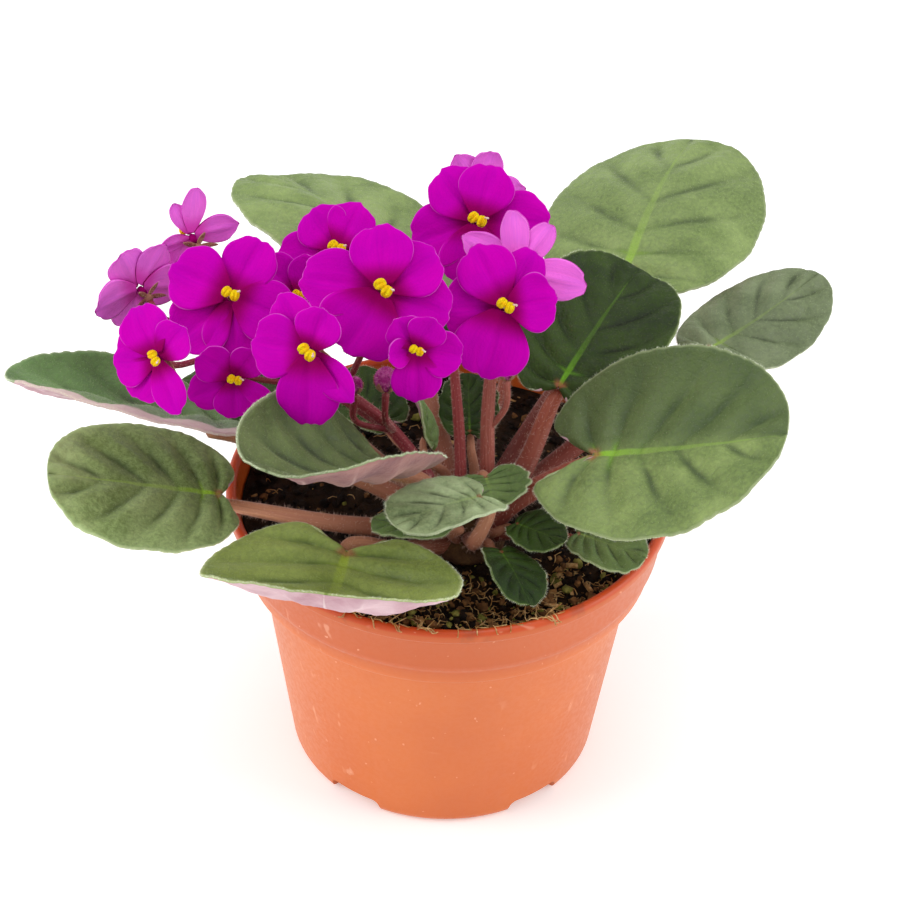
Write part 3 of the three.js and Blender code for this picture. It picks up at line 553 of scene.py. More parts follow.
soilShape = {
    "z": 80.5, "sides": 150, "rings": 60, "lumps": 1.7, "fineLumps": 0.9, "sunkAtWall": 1.0, "base": 6.4,
    "crumbs": 1700, "chips": 110, "fibres": 330, "strays": 24, "fibreCuts": (-2.7, -1.3, 0, 1.3, 2.7),
    "peat": ((20, 13, 6), (56, 39, 22)), "chipTone": ((160, 118, 66), (220, 186, 128)),
    "crumbTones": [((10, 6, 4), (40, 28, 18)), ((92, 62, 34), (158, 118, 70)),
                   ((104, 106, 40), (164, 160, 84))],
    "fibreTone": ((178, 130, 70), (238, 206, 146)), "clearOfWall": 2.2, "front": (-1.25, 0.5), "tilt": 0.6,
    # least and greatest size, lift, flatness, and the share that gathers by the wall at the front
    "crumb": (0.35, 1.9, 0.15, 0.75, 0.0), "paleCrumb": (0.35, 1.9, 0.15, 0.75, 0.6),
    "chip": (0.5, 1.6, 0.35, 1.0, 0.5), "fibre": (0.5, 1.5, 0.7, 1.0, 0.65),
}


def soilHeight(x, y):
    s = soilShape
    spot = Vector((x, y, 3.7))
    slow = noise.fractal(spot * 0.09, 1.0, 2.0, 3)
    fast = noise.turbulence(spot * 0.45, 3, False)
    return s["z"] + s["lumps"] * slow + s["fineLumps"] * (fast - 0.6)


def soilSpot(rng, least, most, lift, flat, frontShare):
    s = soilShape
    limit = potInside(s["z"] - 1.5) - s["clearOfWall"]
    if rng.random() < frontShare:
        angle, radius = rng.gauss(*s["front"]), limit * (1 - 0.4 * rng.random() ** 1.5)
    else:
        angle, radius = rng.uniform(0, 2 * math.pi), limit * math.sqrt(rng.random())
    size = least + (most - least) * rng.random() ** 2.4
    x, y = radius * math.cos(angle), radius * math.sin(angle)
    turn = Matrix.Rotation(rng.uniform(0, 6.28), 3, "Z")
    turn = turn @ Matrix.Rotation(rng.uniform(-s["tilt"], s["tilt"]), 3, "X")
    turn = turn @ Matrix.Diagonal((size * rng.uniform(0.8, 1.5), size, size * flat))
    return turn, (x, y, soilHeight(x, y) + size * lift)


def scatter(model, places, material):
    turns, spots = zip(*places)
    return copiesOf(model, np.array([np.array(turn) for turn in turns]), np.array(spots), material)


def makePeat():
    s = soilShape
    body, across, along = newGrid(s["sides"], s["rings"] + 6)
    turn = (across + 1) * math.pi
    rows = np.rint(along * (s["rings"] + 6)).astype(int)
    walls = [  # radius and height down the pot's inside, just clear of it
        (potInside(s["z"] - 1.5) - 0.4, s["z"] - 1.6), (potInside(74) - 0.5, 74), (potInside(65) - 0.6, 65),
        (potInside(62) - 0.6, 62), (potInside(7) - 2.4, s["base"]), (0, s["base"])]
    coords = np.empty((len(turn), 3))
    for i, (angle, row) in enumerate(zip(turn, rows)):
        if row <= s["rings"]:
            radius = walls[0][0] * row / s["rings"]
            z = soilHeight(radius * math.cos(angle), radius * math.sin(angle))
            z -= s["sunkAtWall"] * (row / s["rings"]) ** 6
        else:
            radius, z = walls[row - s["rings"] - 1]
        coords[i] = radius * math.cos(angle), radius * math.sin(angle), z
    placeCoords(body, coords)
    mergeDoubles(body)
    openMesh(body)
    bpy.ops.mesh.normals_make_consistent(inside=False)
    closeMesh()
    dress(body, grainMaterial("peat", *s["peat"], broad=260.0, fine=1500.0))
    return body


def makeCrumbs(rng):
    models = []
    for seed in (1, 2, 3, 4):  # dented balls, the first two finer
        letGo()
        bpy.ops.mesh.primitive_ico_sphere_add(subdivisions=2 if seed < 3 else 1, radius=1)
        model = bpy.context.object
        coords = coordsOf(model)
        shift = Vector((seed * 5, 0, 0))
        dents = np.array([0.75 + 0.45 * noise.noise(Vector(c) * 1.3 + shift) for c in coords])
        placeCoords(model, coords * dents[:, None], 1)
        models.append(model)
    tones = [grainMaterial(f"crumb{i}", *tone, broad=420.0) for i, tone in enumerate(soilShape["crumbTones"])]
    picks = {}
    for _ in range(soilShape["crumbs"]):
        model = rng.choice((0, 0, 1, 2, 2, 3, 3, 3))
        tone = rng.choices((0, 1, 2), weights=(8, 3, 1.3))[0]
        spot = soilSpot(rng, *soilShape["crumb" if tone == 0 else "paleCrumb"])
        picks.setdefault((model, tone), []).append(spot)
    crumbs = [scatter(models[model], spots, tones[tone]) for (model, tone), spots in sorted(picks.items())]
    for model in models:
        bpy.data.objects.remove(model)
    return crumbs


def makeChips(rng):
    letGo()
    bpy.ops.mesh.primitive_cube_add(size=1, scale=(1.6, 0.9, 0.28))
    chip = applyPlace(bpy.context.object)
    openMesh(chip)
    bpy.ops.mesh.subdivide(number_cuts=1)
    bpy.ops.transform.vertex_random(offset=0.16, seed=4)
    closeMesh()
    spots = [soilSpot(rng, *soilShape["chip"]) for _ in range(soilShape["chips"])]
    chips = scatter(chip, spots, grainMaterial("barkChip", *soilShape["chipTone"], broad=500.0))
    bpy.data.objects.remove(chip)
    return chips


def layDown(rng, heading, least, most):
    return Matrix.Rotation(heading, 3, "Z") @ Matrix.Rotation(rng.uniform(least, most), 3, "Y")


def makeFibres(rng):
    letGo()
    bpy.ops.mesh.primitive_cylinder_add(vertices=4, radius=0.1, depth=8)
    fibre = bpy.context.object
    cutAcross(fibre, soilShape["fibreCuts"])
    coords = coordsOf(fibre)
    z = coords[:, 2].copy()
    coords[:, 0] += 0.08 * z ** 2 + 0.4 * np.sin(z * 0.9)
    coords[:, 1] += 0.35 * np.sin(z * 1.3 + 1)
    placeCoords(fibre, coords, 1)
    spots = []
    for _ in range(soilShape["fibres"]):
        _, spot = soilSpot(rng, *soilShape["fibre"])
        lie = layDown(rng, rng.uniform(0, 6.28), 1.35, 1.6)
        spots.append((lie @ Matrix.Diagonal((1.3, 1.3, rng.uniform(0.35, 1.0))), spot))
    onLip = potShape["height"] + 0.25
    for _ in range(soilShape["strays"]):  # these lie across the lip
        angle, radius = rng.uniform(-2.2, -0.9), potShape["lipRadius"] - rng.uniform(0.9, 2.2)
        lie = layDown(rng, angle + rng.uniform(-1.1, 1.1), 1.5, 1.62) @ Matrix.Rotation(math.pi / 2, 3, "Z")
        lie = lie @ Matrix.Diagonal((1.9, 1.9, rng.uniform(0.35, 0.9)))
        spots.append((lie, (radius * math.cos(angle), radius * math.sin(angle), onLip)))
    fibres = scatter(fibre, spots, grainMaterial("fibre", *soilShape["fibreTone"], broad=500.0))
    bpy.data.objects.remove(fibre)
    return fibres


soilDice = random.Random(23)
soil = joined([makePeat(), *makeCrumbs(soilDice), makeChips(soilDice), makeFibres(soilDice)])
finishPiece(soil, "pottingSoil", ["soil"])
say("soil")

letGo()
bpy.ops.mesh.primitive_cone_add(vertices=3, radius1=1, radius2=0, depth=1, location=(0, 0, 0.5))
hairModel = applyPlace(bpy.context.object)
hairModel.name = "hairModel"


def makeHairs(roots, ways, lengths, material, thick):
    ways = unit(ways)
    helper = np.where(np.abs(ways[:, 2:3]) < 0.9, np.array([[0, 0, 1.0]]), np.array([[1.0, 0, 0]]))
    side = unit(np.cross(helper, ways))
    other = np.cross(ways, side)
    turns = np.stack([side * thick, other * thick, ways * lengths[:, None]], axis=2)
    return copiesOf(hairModel, turns, roots - ways * 0.12, material)


leafShape = {
    "thickness": 0.7, "widest": 0.42, "notch": 0.2, "fullness": 0.88, "quilt": 0.85, "ripple": 0.7,
    "ripples": 9, "veins": 6, "sweep": 0.1, "scallop": 0.35, "tooth": 3.4, "toothDepth": 0.5,
    "furrow": 0.55, "puckers": 0.16, "youngBelow": 35, "grid": (36, 132), "youngGrid": (20, 60),
    "jointTone": (150, 80, 56), "rolledTone": (214, 182, 182),
}
leafHairs = {
    "perArea": 1.5, "perAreaFurry": 2.6, "most": 5200, "lengths": (0.35, 0.8), "furryLength": 1.5,
    "lean": 0.35, "scatter": 0.28, "thick": 0.024, "fringePerMm": 8, "fringeLengths": (0.45, 1.1),
    "fringeThick": 0.04,
}

# spot, heading, rise, roll, length, width, droop, cup left and right, lobe, stalk via, stalk radius, tone
leaves = {
    "leaf_right_front": ((37, -23, 116.5), (-16, 19, 5), (53, 60), (-5, 50, -12), 0.31, (17, -21, 98), 2.9,
                         "olive"),
    "leaf_right_middle": ((28, 3, 118), (64, 14, 10), (54, 42), (20, 46, 25), 0.13, (18, -14, 100), 2.8,
                          "deep"),
    "leaf_right_back": ((69, 30, 111.5), (51, -8, 8), (51, 31), (-12, -26, -24), 0.13, (38, 4, 102), 2.6,
                        "grey"),
    "leaf_back_right": ((47, 62, 113), (75, 15, -10), (71, 64), (30, -20, -34), 0.13, (24, 16, 98), 2.8,
                        "pale"),
    "leaf_back_left": ((-14, 40, 124.5), (122, 16, 28), (65, 56), (38, -34, 24), 0.13, (-5, 8, 104), 2.7,
                       "pale"),
    "leaf_left_upper": ((-58, -6, 109), (205, 24, 38), (64, 58), (-8, -26, 78), 0.13, (-24, -14, 99), 2.7,
                        "sage"),
    "leaf_left_lower": ((-60, -18.5, 95.5), (188, 14, 4), (46, 52), (2, -12, 8), 0.13, (-26, -24, 91), 2.6,
                        "moss"),
    "leaf_front_left": ((-26, -38, 94), (260, -13, -6), (48, 68), (-80, 36, 2), 0.16, (-12, -31, 89), 2.6,
                        "bright"),
    "leaf_centre_folded": ((-17, -27, 115), (239, 21, 3), (62, 55), (-22, 64, 92), 0.13, (-6, -20.5, 102),
                           2.9,
                           "dusk"),
    "young_front": ((8, -33, 109.5), (216, 16, 8), (27, 26), (20, 18, 8), 0.2, (7, -31.5, 93), 2, "furry"),
    "young_under": ((-1, -28.3, 96.9), (183, 1, -5), (19, 12), (8, -6, -4), 0.15, (1, -26, 91), 1.6, "young"),
    "young_right": ((9.5, -19, 104.5), (284, -6, 6), (11, 22), (6, 30, 24), 0.24, (7.5, -17, 98), 1.6,
                    "young"),
    "young_low": ((14, -33, 91), (296, 2, -16), (19, 16), (22, 10, 20), 0.18, (11, -29, 90), 1.5, "fresh"),
    "young_dark": ((18, -25, 94), (330, 4, 4), (14, 14), (10, 8, 8), 0.15, (14, -24, 91), 1.4, "fresh"),
    "young_behind": ((5, -2, 106), (94, 32, -8), (17, 16), (10, 6, 6), 0.15, (6.5, -7, 97), 1.5, "fresh"),
    "young_edge": ((-5, -7, 106), (112, 40, 62), (19, 12), (12, 16, 16), 0.12, (-1, -9, 97), 1.5, "young"),
    "young_bright": ((-17, 0, 107), (130, 14, 0), (22, 20), (14, 8, 8), 0.15, (-6, -4, 95), 1.6, "fresh"),
    "leaf_under_blooms": ((-35, 14, 99), (158, 4, 6), (42, 36), (16, -14, 10), 0.14, (-14, -4, 92), 2.2,
                          "deep"),
    "leaf_back_low": ((14, 38, 101), (96, 8, 0), (42, 38), (24, -12, -12), 0.14, (9, 8, 95), 2.2, "deep"),
    "leaf_right_low": ((34, -27, 93), (-22, -2, 6), (19, 18), (8, 8, 8), 0.14, (19, -25, 91), 1.8, "young"),
}

# each leaf's tones are set lighter or darker to match how lit that leaf is: partly the leaf's own colour,
# partly painted light and shade; moss is the olive tone lightened as painted light
# dark, light, veins, glow along the midrib, margin, then how far a half is shaded and its margin rolled
leafTones = {
    "olive": ((86, 106, 50), (127, 146, 82), (44, 64, 24), (132, 184, 34), (180, 192, 146), 0.66),
    "moss": ((104, 128, 62), (164, 186, 124), (56, 78, 28), (150, 204, 30), (196, 208, 156)),
    "dusk": ((62, 80, 36), (102, 118, 66), (36, 52, 20), (112, 148, 44), (170, 182, 140)),
    "bright": ((108, 126, 53), (143, 159, 81), (62, 84, 30), (156, 180, 54), (196, 206, 150)),
    "deep": ((24, 40, 6), (52, 72, 20), (10, 20, 3), (100, 158, 14), (140, 156, 100)),
    "grey": ((74, 88, 52), (112, 124, 90), (46, 58, 30), (128, 158, 52), (176, 186, 150)),
    "sage": ((62, 90, 38), (98, 130, 72), (42, 58, 26), (120, 150, 50), (176, 186, 150), 0.0, 0.24),
    "pale": ((91, 111, 54), (133, 152, 90), (58, 76, 34), (138, 176, 54), (180, 190, 148)),
    "furry": ((90, 113, 62), (174, 194, 144), (42, 60, 26), (140, 164, 90), (206, 214, 178)),
    "young": ((66, 94, 40), (106, 132, 68), (38, 60, 20), (130, 160, 70), (190, 202, 150)),
    "fresh": ((18, 38, 4), (54, 80, 20), (10, 26, 2), (84, 124, 28), (140, 164, 96)),
}
leafSkins = {tone: leafMaterial(f"leaf{tone.title()}", *tones) for tone, tones in leafTones.items()}
leafUnder = underMaterial("leafUnder", (218, 188, 194), (188, 146, 156), (232, 212, 210))
leafUnderDeep = underMaterial("leafUnderDeep", (160, 114, 108), (116, 72, 78), (210, 176, 166))
leafHair = hairMaterial("leafHair", (176, 190, 146))
darkLeafHair = hairMaterial("darkLeafHair", (112, 128, 78))
fringeHair = hairMaterial("fringeHair", (222, 228, 202))
stemHair = hairMaterial("stemHair", (220, 188, 170))


def leafPlace(leaf):
    spot, (heading, rise, roll) = leaf[0], leaf[1]
    along = polarWay(heading, rise)
    level = Vector((-math.sin(math.radians(heading)), math.cos(math.radians(heading)), 0))
    left = Matrix.Rotation(math.radians(roll), 3, along) @ level
    turn = Matrix((along, left, along.cross(left))).transposed()
    return np.array(turn), np.array(spot, float)


def bendBlade(leaf, u, v, lift=0.0):
    (length, width), (droop, cupLeft, cupRight) = leaf[2], leaf[3]
    cup = np.radians(np.where(v > 0, cupLeft, cupRight)) / (width / 2) + 1e-7
    across = np.sin(cup * np.abs(v)) / cup
    raised = (1 - np.cos(cup * np.abs(v))) / cup + lift
    bow = math.radians(droop) / length + 1e-7
    reach = 1 / bow + raised
    return np.stack([np.sin(bow * u) * reach, across * np.sign(v), np.cos(bow * u) * reach - 1 / bow], -1)


def flatBlade(leaf, across, along):
    p = leafShape
    (length, width), lobe = leaf[2], leaf[4]
    out = np.abs(across)
    turn = np.pi * (1 - along)
    reach = np.where(np.cos(turn) > 0, 1 - p["widest"], p["widest"] + lobe)
    notch = lobe * np.exp(-(((np.pi - turn) / p["notch"]) ** 2))
    marginU = (p["widest"] + reach * np.cos(turn) + notch) * length
    marginV = width / 2 * np.abs(np.sin(turn)) ** p["fullness"]
    ribU = length * along ** 2
    teeth = np.pi * (length + width) / 2 / p["tooth"] / 2
    crenate = np.abs(np.sin(np.pi * teeth * along)) ** 0.6 - 0.6
    wave = -np.cos(2 * np.pi * p["veins"] * along)
    depth = p["toothDepth"] * (1 if length > p["youngBelow"] else 1.7)
    grown = depth * crenate * np.clip((out - 0.9) / 0.1, 0, 1) + p["scallop"] * wave * out ** 2
    ends = np.clip(np.minimum(along, 1 - along) / 0.05, 0, 1)
    out = out * (1 + grown * ends / (length / 2) * 0.5)
    return ribU + (marginU - ribU) * out, np.sign(across) * marginV * out


def bladePoint(leaf, across, along):
    p = leafShape
    u, v = flatBlade(leaf, across, along)
    out = np.abs(across)
    ends = np.clip(np.minimum(along, 1 - along) / 0.06, 0, 1)
    phase = along - p["sweep"] * out ** 1.3  # side veins bend forward on their way out
    pillow = 2 * np.abs(np.sin(np.pi * p["veins"] * phase)) ** 1.6 - 1
    size = min(1.0, leaf[2][0] / 45)
    lift = p["quilt"] * size * pillow * np.sin(np.pi * np.minimum(out, 0.92)) * ends
    lift -= p["furrow"] * size * np.exp(-((out / 0.05) ** 2)) * np.clip((1 - along) / 0.4, 0, 1) * ends
    lift += p["ripple"] * out ** 2 * np.sin(p["ripples"] * along + 2 * np.sign(across) + leaf[2][0]) * ends
    puckers = np.sin(1.25 * u + 0.8 * np.sin(0.9 * v)) * np.sin(1.1 * v + 0.7 * np.sin(0.8 * u + 2))
    lift += p["puckers"] * size * puckers * ends * np.clip(out * 3, 0, 1)
    turn, spot = leafPlace(leaf)
    return bendBlade(leaf, u, v, lift) @ turn.T + spot


def bladeSlopes(leaf, across, along):
    step = 0.004
    lengthways = bladePoint(leaf, across, along + step) - bladePoint(leaf, across, along - step)
    sideways = bladePoint(leaf, across + step, along) - bladePoint(leaf, across - step, along)
    return lengthways, sideways, np.cross(lengthways, sideways)


def spreadOver(rng, leaf, count):
    # even spots over a blade: by rejection on how much of it each part of the grid covers
    across = rng.uniform(-0.99, 0.99, count * 4)
    along = rng.uniform(0.03, 0.985, count * 4)
    area = np.linalg.norm(bladeSlopes(leaf, across, along)[2], axis=1)
    keep = rng.random(len(area)) < area / np.percentile(area, 98)
    return across[keep][:count], along[keep][:count]


def makeTopHairs(rng, leaf, longer):
    h, (length, width), tone = leafHairs, leaf[2], leaf[7]
    density = h["perAreaFurry"] if tone == "furry" else h["perArea"]
    across, along = spreadOver(rng, leaf, int(min(h["most"], length * width * 0.75 * density)))
    lengthways, _, normals = bladeSlopes(leaf, across, along)
    normals = unit(normals)
    roots = bladePoint(leaf, across, along) + normals * leafShape["thickness"] / 2
    lean = normals + unit(lengthways) * h["lean"] + rng.normal(0, h["scatter"], normals.shape)
    skin = darkLeafHair if tone in ("deep", "fresh") else leafHair
    return makeHairs(roots, lean, rng.uniform(*h["lengths"], len(roots)) * longer, skin, h["thick"])


def makeFringe(rng, leaf, longer):
    h = leafHairs
    count = int(sum(leaf[2]) * h["fringePerMm"])
    along = np.concatenate([rng.uniform(0.03, 0.99, count), rng.uniform(0.03, 0.99, count)])
    across = np.repeat([0.995, -0.995], count)
    normals = unit(bladeSlopes(leaf, across, along)[2])
    roots = bladePoint(leaf, across, along)
    outwards = unit(roots - bladePoint(leaf, across * 0.9, along))
    lean = outwards + normals * rng.uniform(-0.5, 0.8, (len(along), 1)) + rng.normal(0, 0.25, normals.shape)
    lengths = rng.uniform(*h["fringeLengths"], len(along)) * longer ** 0.5
    return makeHairs(roots, lean, lengths, fringeHair, h["fringeThick"])


def makeLeaf(name, leaf):
    tone, large = leaf[7], leaf[2][0] > leafShape["youngBelow"]
    rng = np.random.default_rng(seedOf(name))
    blade, across, along = newGrid(*leafShape["grid" if large else "youngGrid"])
    placeCoords(blade, bladePoint(leaf, across, along))
    under = leafUnderDeep if name == "leaf_centre_folded" else leafUnder
    dress(blade, under, leafSkins[tone])  # the grid's own faces look down
    mergeDoubles(blade, 0.01 * mm)
    applyModifier(blade, "SOLIDIFY", thickness=leafShape["thickness"] * mm, offset=0, material_offset=1,
                  material_offset_rim=1, use_quality_normals=True)
    longer = leafHairs["furryLength"] if tone == "furry" else 1.0
    piece = joined([blade, makeTopHairs(rng, leaf, longer), makeFringe(rng, leaf, longer)])
    finishPiece(piece, titleOf(name) + "Blade", [name])


for leafName, leafFacts in leaves.items():
    makeLeaf(leafName, leafFacts)
say("leaves")

crown = {
    "x": 5, "y": -19, "neckRadius": 7, "radius": 11, "bottom": 62, "shoulder": 84, "top": 91,
    "cuts": (66, 70, 74, 78, 81), "swellings": ((1, 1.35), (2, 1.15), (2.2, 0.82), (1.2, 0.5)),
}
stemShape = {
    "swell": 0.05, "grooveAt": 1.2, "grooveWidth": 0.5, "hairLengths": (0.6, 1.2), "hairLean": (-0.3, 0.5),
    "hairScatter": 0.15, "hairSunk": 0.97,
}
petioleShape = {
    "taper": (1.15, 1, 0.85, 0.55), "clear": 0.75, "below": 0.55, "sunk": 0.5, "groove": 0.12,
    "startOut": 0.4, "belowTop": 4, "belowVia": 5, "behindLeaf": (-4, 0.5), "joinAt": 0.12,
    "thinBelow": 2.1, "grid": (18, 40), "thinGrid": (12, 20), "hairs": 14, "thinHairs": 9,
    "hairLength": 1.25,
}
redStalked = ("leaf_right_middle", "leaf_back_right", "leaf_right_back", "leaf_right_front", "leaf_back_low",
              "leaf_right_low")


def slide(first, second, t, start, end):
    return ((end - t) * first + (t - start) * second) / (end - start)


def smoothPath(points, count):
    # centripetal Catmull-Rom through the points, evenly spaced along its length
    points = [np.array(point, float) for point in points]
    points = [2 * points[0] - points[1]] + points + [2 * points[-1] - points[-2]]
    dense = []
    for a, b, c, d in zip(points, points[1:], points[2:], points[3:]):
        k = np.cumsum([0] + [max(np.linalg.norm(q - p) ** 0.5, 1e-4) for p, q in ((a, b), (b, c), (c, d))])
        for t in np.linspace(k[1], k[2], 24, endpoint=False):
            ab, bc, cd = slide(a, b, t, k[0], k[1]), slide(b, c, t, k[1], k[2]), slide(c, d, t, k[2], k[3])
            dense.append(slide(slide(ab, bc, t, k[0], k[2]), slide(bc, cd, t, k[1], k[3]), t, k[1], k[2]))
    dense = np.array(dense + [points[-2]])
    run = np.concatenate([[0], np.cumsum(np.linalg.norm(np.diff(dense, axis=0), axis=1))])
    even = np.linspace(0, run[-1], count)
    return np.stack([np.interp(even, run, dense[:, axis]) for axis in range(3)], -1)


def makeStem(points, radii, sides, steps, material, groove=0.0):
    # a grid rolled up round a path, thick and thin as radii says, its ends drawn in and closed
    grid, across, along = newGrid(sides, steps)
    path = smoothPath(points, steps + 1)
    tangents = unit(np.gradient(path, axis=0))
    side = np.cross(tangents[0], [0.3, 0.9, 0.2])
    sidesOn = []
    for tangent in tangents:
        side = side - tangent * np.dot(side, tangent)
        side = side / np.linalg.norm(side)
        sidesOn.append(side)
    sidesOn = np.array(sidesOn)
    others = np.cross(tangents, sidesOn)
    row = np.rint(along * steps).astype(int)
    radius = np.interp(along, np.linspace(0, 1, len(radii)), radii)
    radius = np.where((row == 0) | (row == steps), 0.0, radius)
    angle = across * math.pi
    dip = groove * np.exp(-((angle - stemShape["grooveAt"]) / stemShape["grooveWidth"]) ** 2)
    radius = radius * (1 + stemShape["swell"] * np.sin(3 * angle + 9 * along) - dip)
    placeCoords(grid, path[row] + sidesOn[row] * (radius * np.cos(angle))[:, None]
                + others[row] * (radius * np.sin(angle))[:, None])
    mergeDoubles(grid)
    dress(grid, material)
    return grid, (path, tangents, sidesOn, others, radii)


def stemHairs(rng, route, perMm, length, thick=0.035):
    s, (path, tangents, sidesOn, others, radii) = stemShape, route
    run = np.linalg.norm(np.diff(path, axis=0), axis=1).sum()
    count = int(run * perMm)
    share = rng.uniform(0.02, 0.98, count)
    at = share * (len(path) - 1)
    low = np.floor(at).astype(int)
    part = (at - low)[:, None]
    middle = path[low] * (1 - part) + path[low + 1] * part
    angle = rng.uniform(0, 2 * math.pi, count)
    out = sidesOn[low] * np.cos(angle)[:, None] + others[low] * np.sin(angle)[:, None]
    radius = np.interp(share, np.linspace(0, 1, len(radii)), radii)
    roots = middle + out * radius[:, None] * s["hairSunk"]
    lean = out + tangents[low] * rng.uniform(*s["hairLean"], (count, 1))
    lean = lean + rng.normal(0, s["hairScatter"], out.shape)
    return makeHairs(roots, lean, rng.uniform(*s["hairLengths"], count) * length, stemHair, thick)


petiole = stemMaterial("petiole", (200, 144, 108), (124, 72, 54), (164, 106, 82))
petioleRed = stemMaterial("petioleRed", (158, 82, 56), (92, 38, 30), (130, 56, 42))
crownSkin = grainMaterial("crownSkin", (72, 48, 34), (110, 84, 52), broad=220.0)


def petioleRoute(leaf):
    p, length, via, stalk = petioleShape, leaf[2][0], np.array(leaf[5], float), leaf[6]
    turn, spot = leafPlace(leaf)
    drop = p["clear"] + stalk * p["below"] + p["sunk"]

    def under(u, extra):
        point = bendBlade(leaf, np.array([u]), np.array([0.0]))[0] + np.array([0, 0, -drop - extra])
        return turn @ point + spot
    axis = np.array([crown["x"], crown["y"], 0])
    way = (via - axis) * (1, 1, 0)
    start = axis + way / np.linalg.norm(way) * crown["radius"] * p["startOut"]
    start[2] = min(crown["top"] - p["belowTop"], via[2] - p["belowVia"])
    points = [start, via, under(*p["behindLeaf"]), under(length * p["joinAt"], 0)]
    return points, [stalk * share for share in p["taper"]]


def makeCrown():
    c = crown
    letGo()
    bpy.ops.mesh.primitive_cylinder_add(
        vertices=32, radius=c["neckRadius"] * mm, depth=(c["shoulder"] - c["bottom"]) * mm,
        location=(c["x"] * mm, c["y"] * mm, (c["shoulder"] + c["bottom"]) / 2 * mm))
    knob = applyPlace(bpy.context.object)
    cutAcross(knob, [z * mm for z in c["cuts"]])
    openTop(knob)
    centre = (c["x"] * mm, c["y"] * mm, c["shoulder"] * mm)
    for lift, grow in c["swellings"]:
        bpy.ops.mesh.extrude_region_move(TRANSFORM_OT_translate={"value": (0, 0, lift * mm)})
        bpy.ops.transform.resize(value=(grow, grow, 1), center_override=centre)
    closeMesh()
    dress(knob, crownSkin)
    return applyModifier(knob, "SUBSURF", levels=1, render_levels=1)


def makeStems():
    p, parts = petioleShape, [makeCrown()]
    rng = np.random.default_rng(5)
    for name, leaf in leaves.items():
        points, radii = petioleRoute(leaf)
        thin = leaf[6] < p["thinBelow"]
        skin = petioleRed if name in redStalked else petiole
        tube, route = makeStem(points, radii, *p["thinGrid" if thin else "grid"], skin, p["groove"])
        parts += [tube, stemHairs(rng, route, p["thinHairs" if thin else "hairs"], p["hairLength"])]
    finishPiece(joined(parts), "crownAndPetioles", ["plant_stems"])


makeStems()
say("stems")

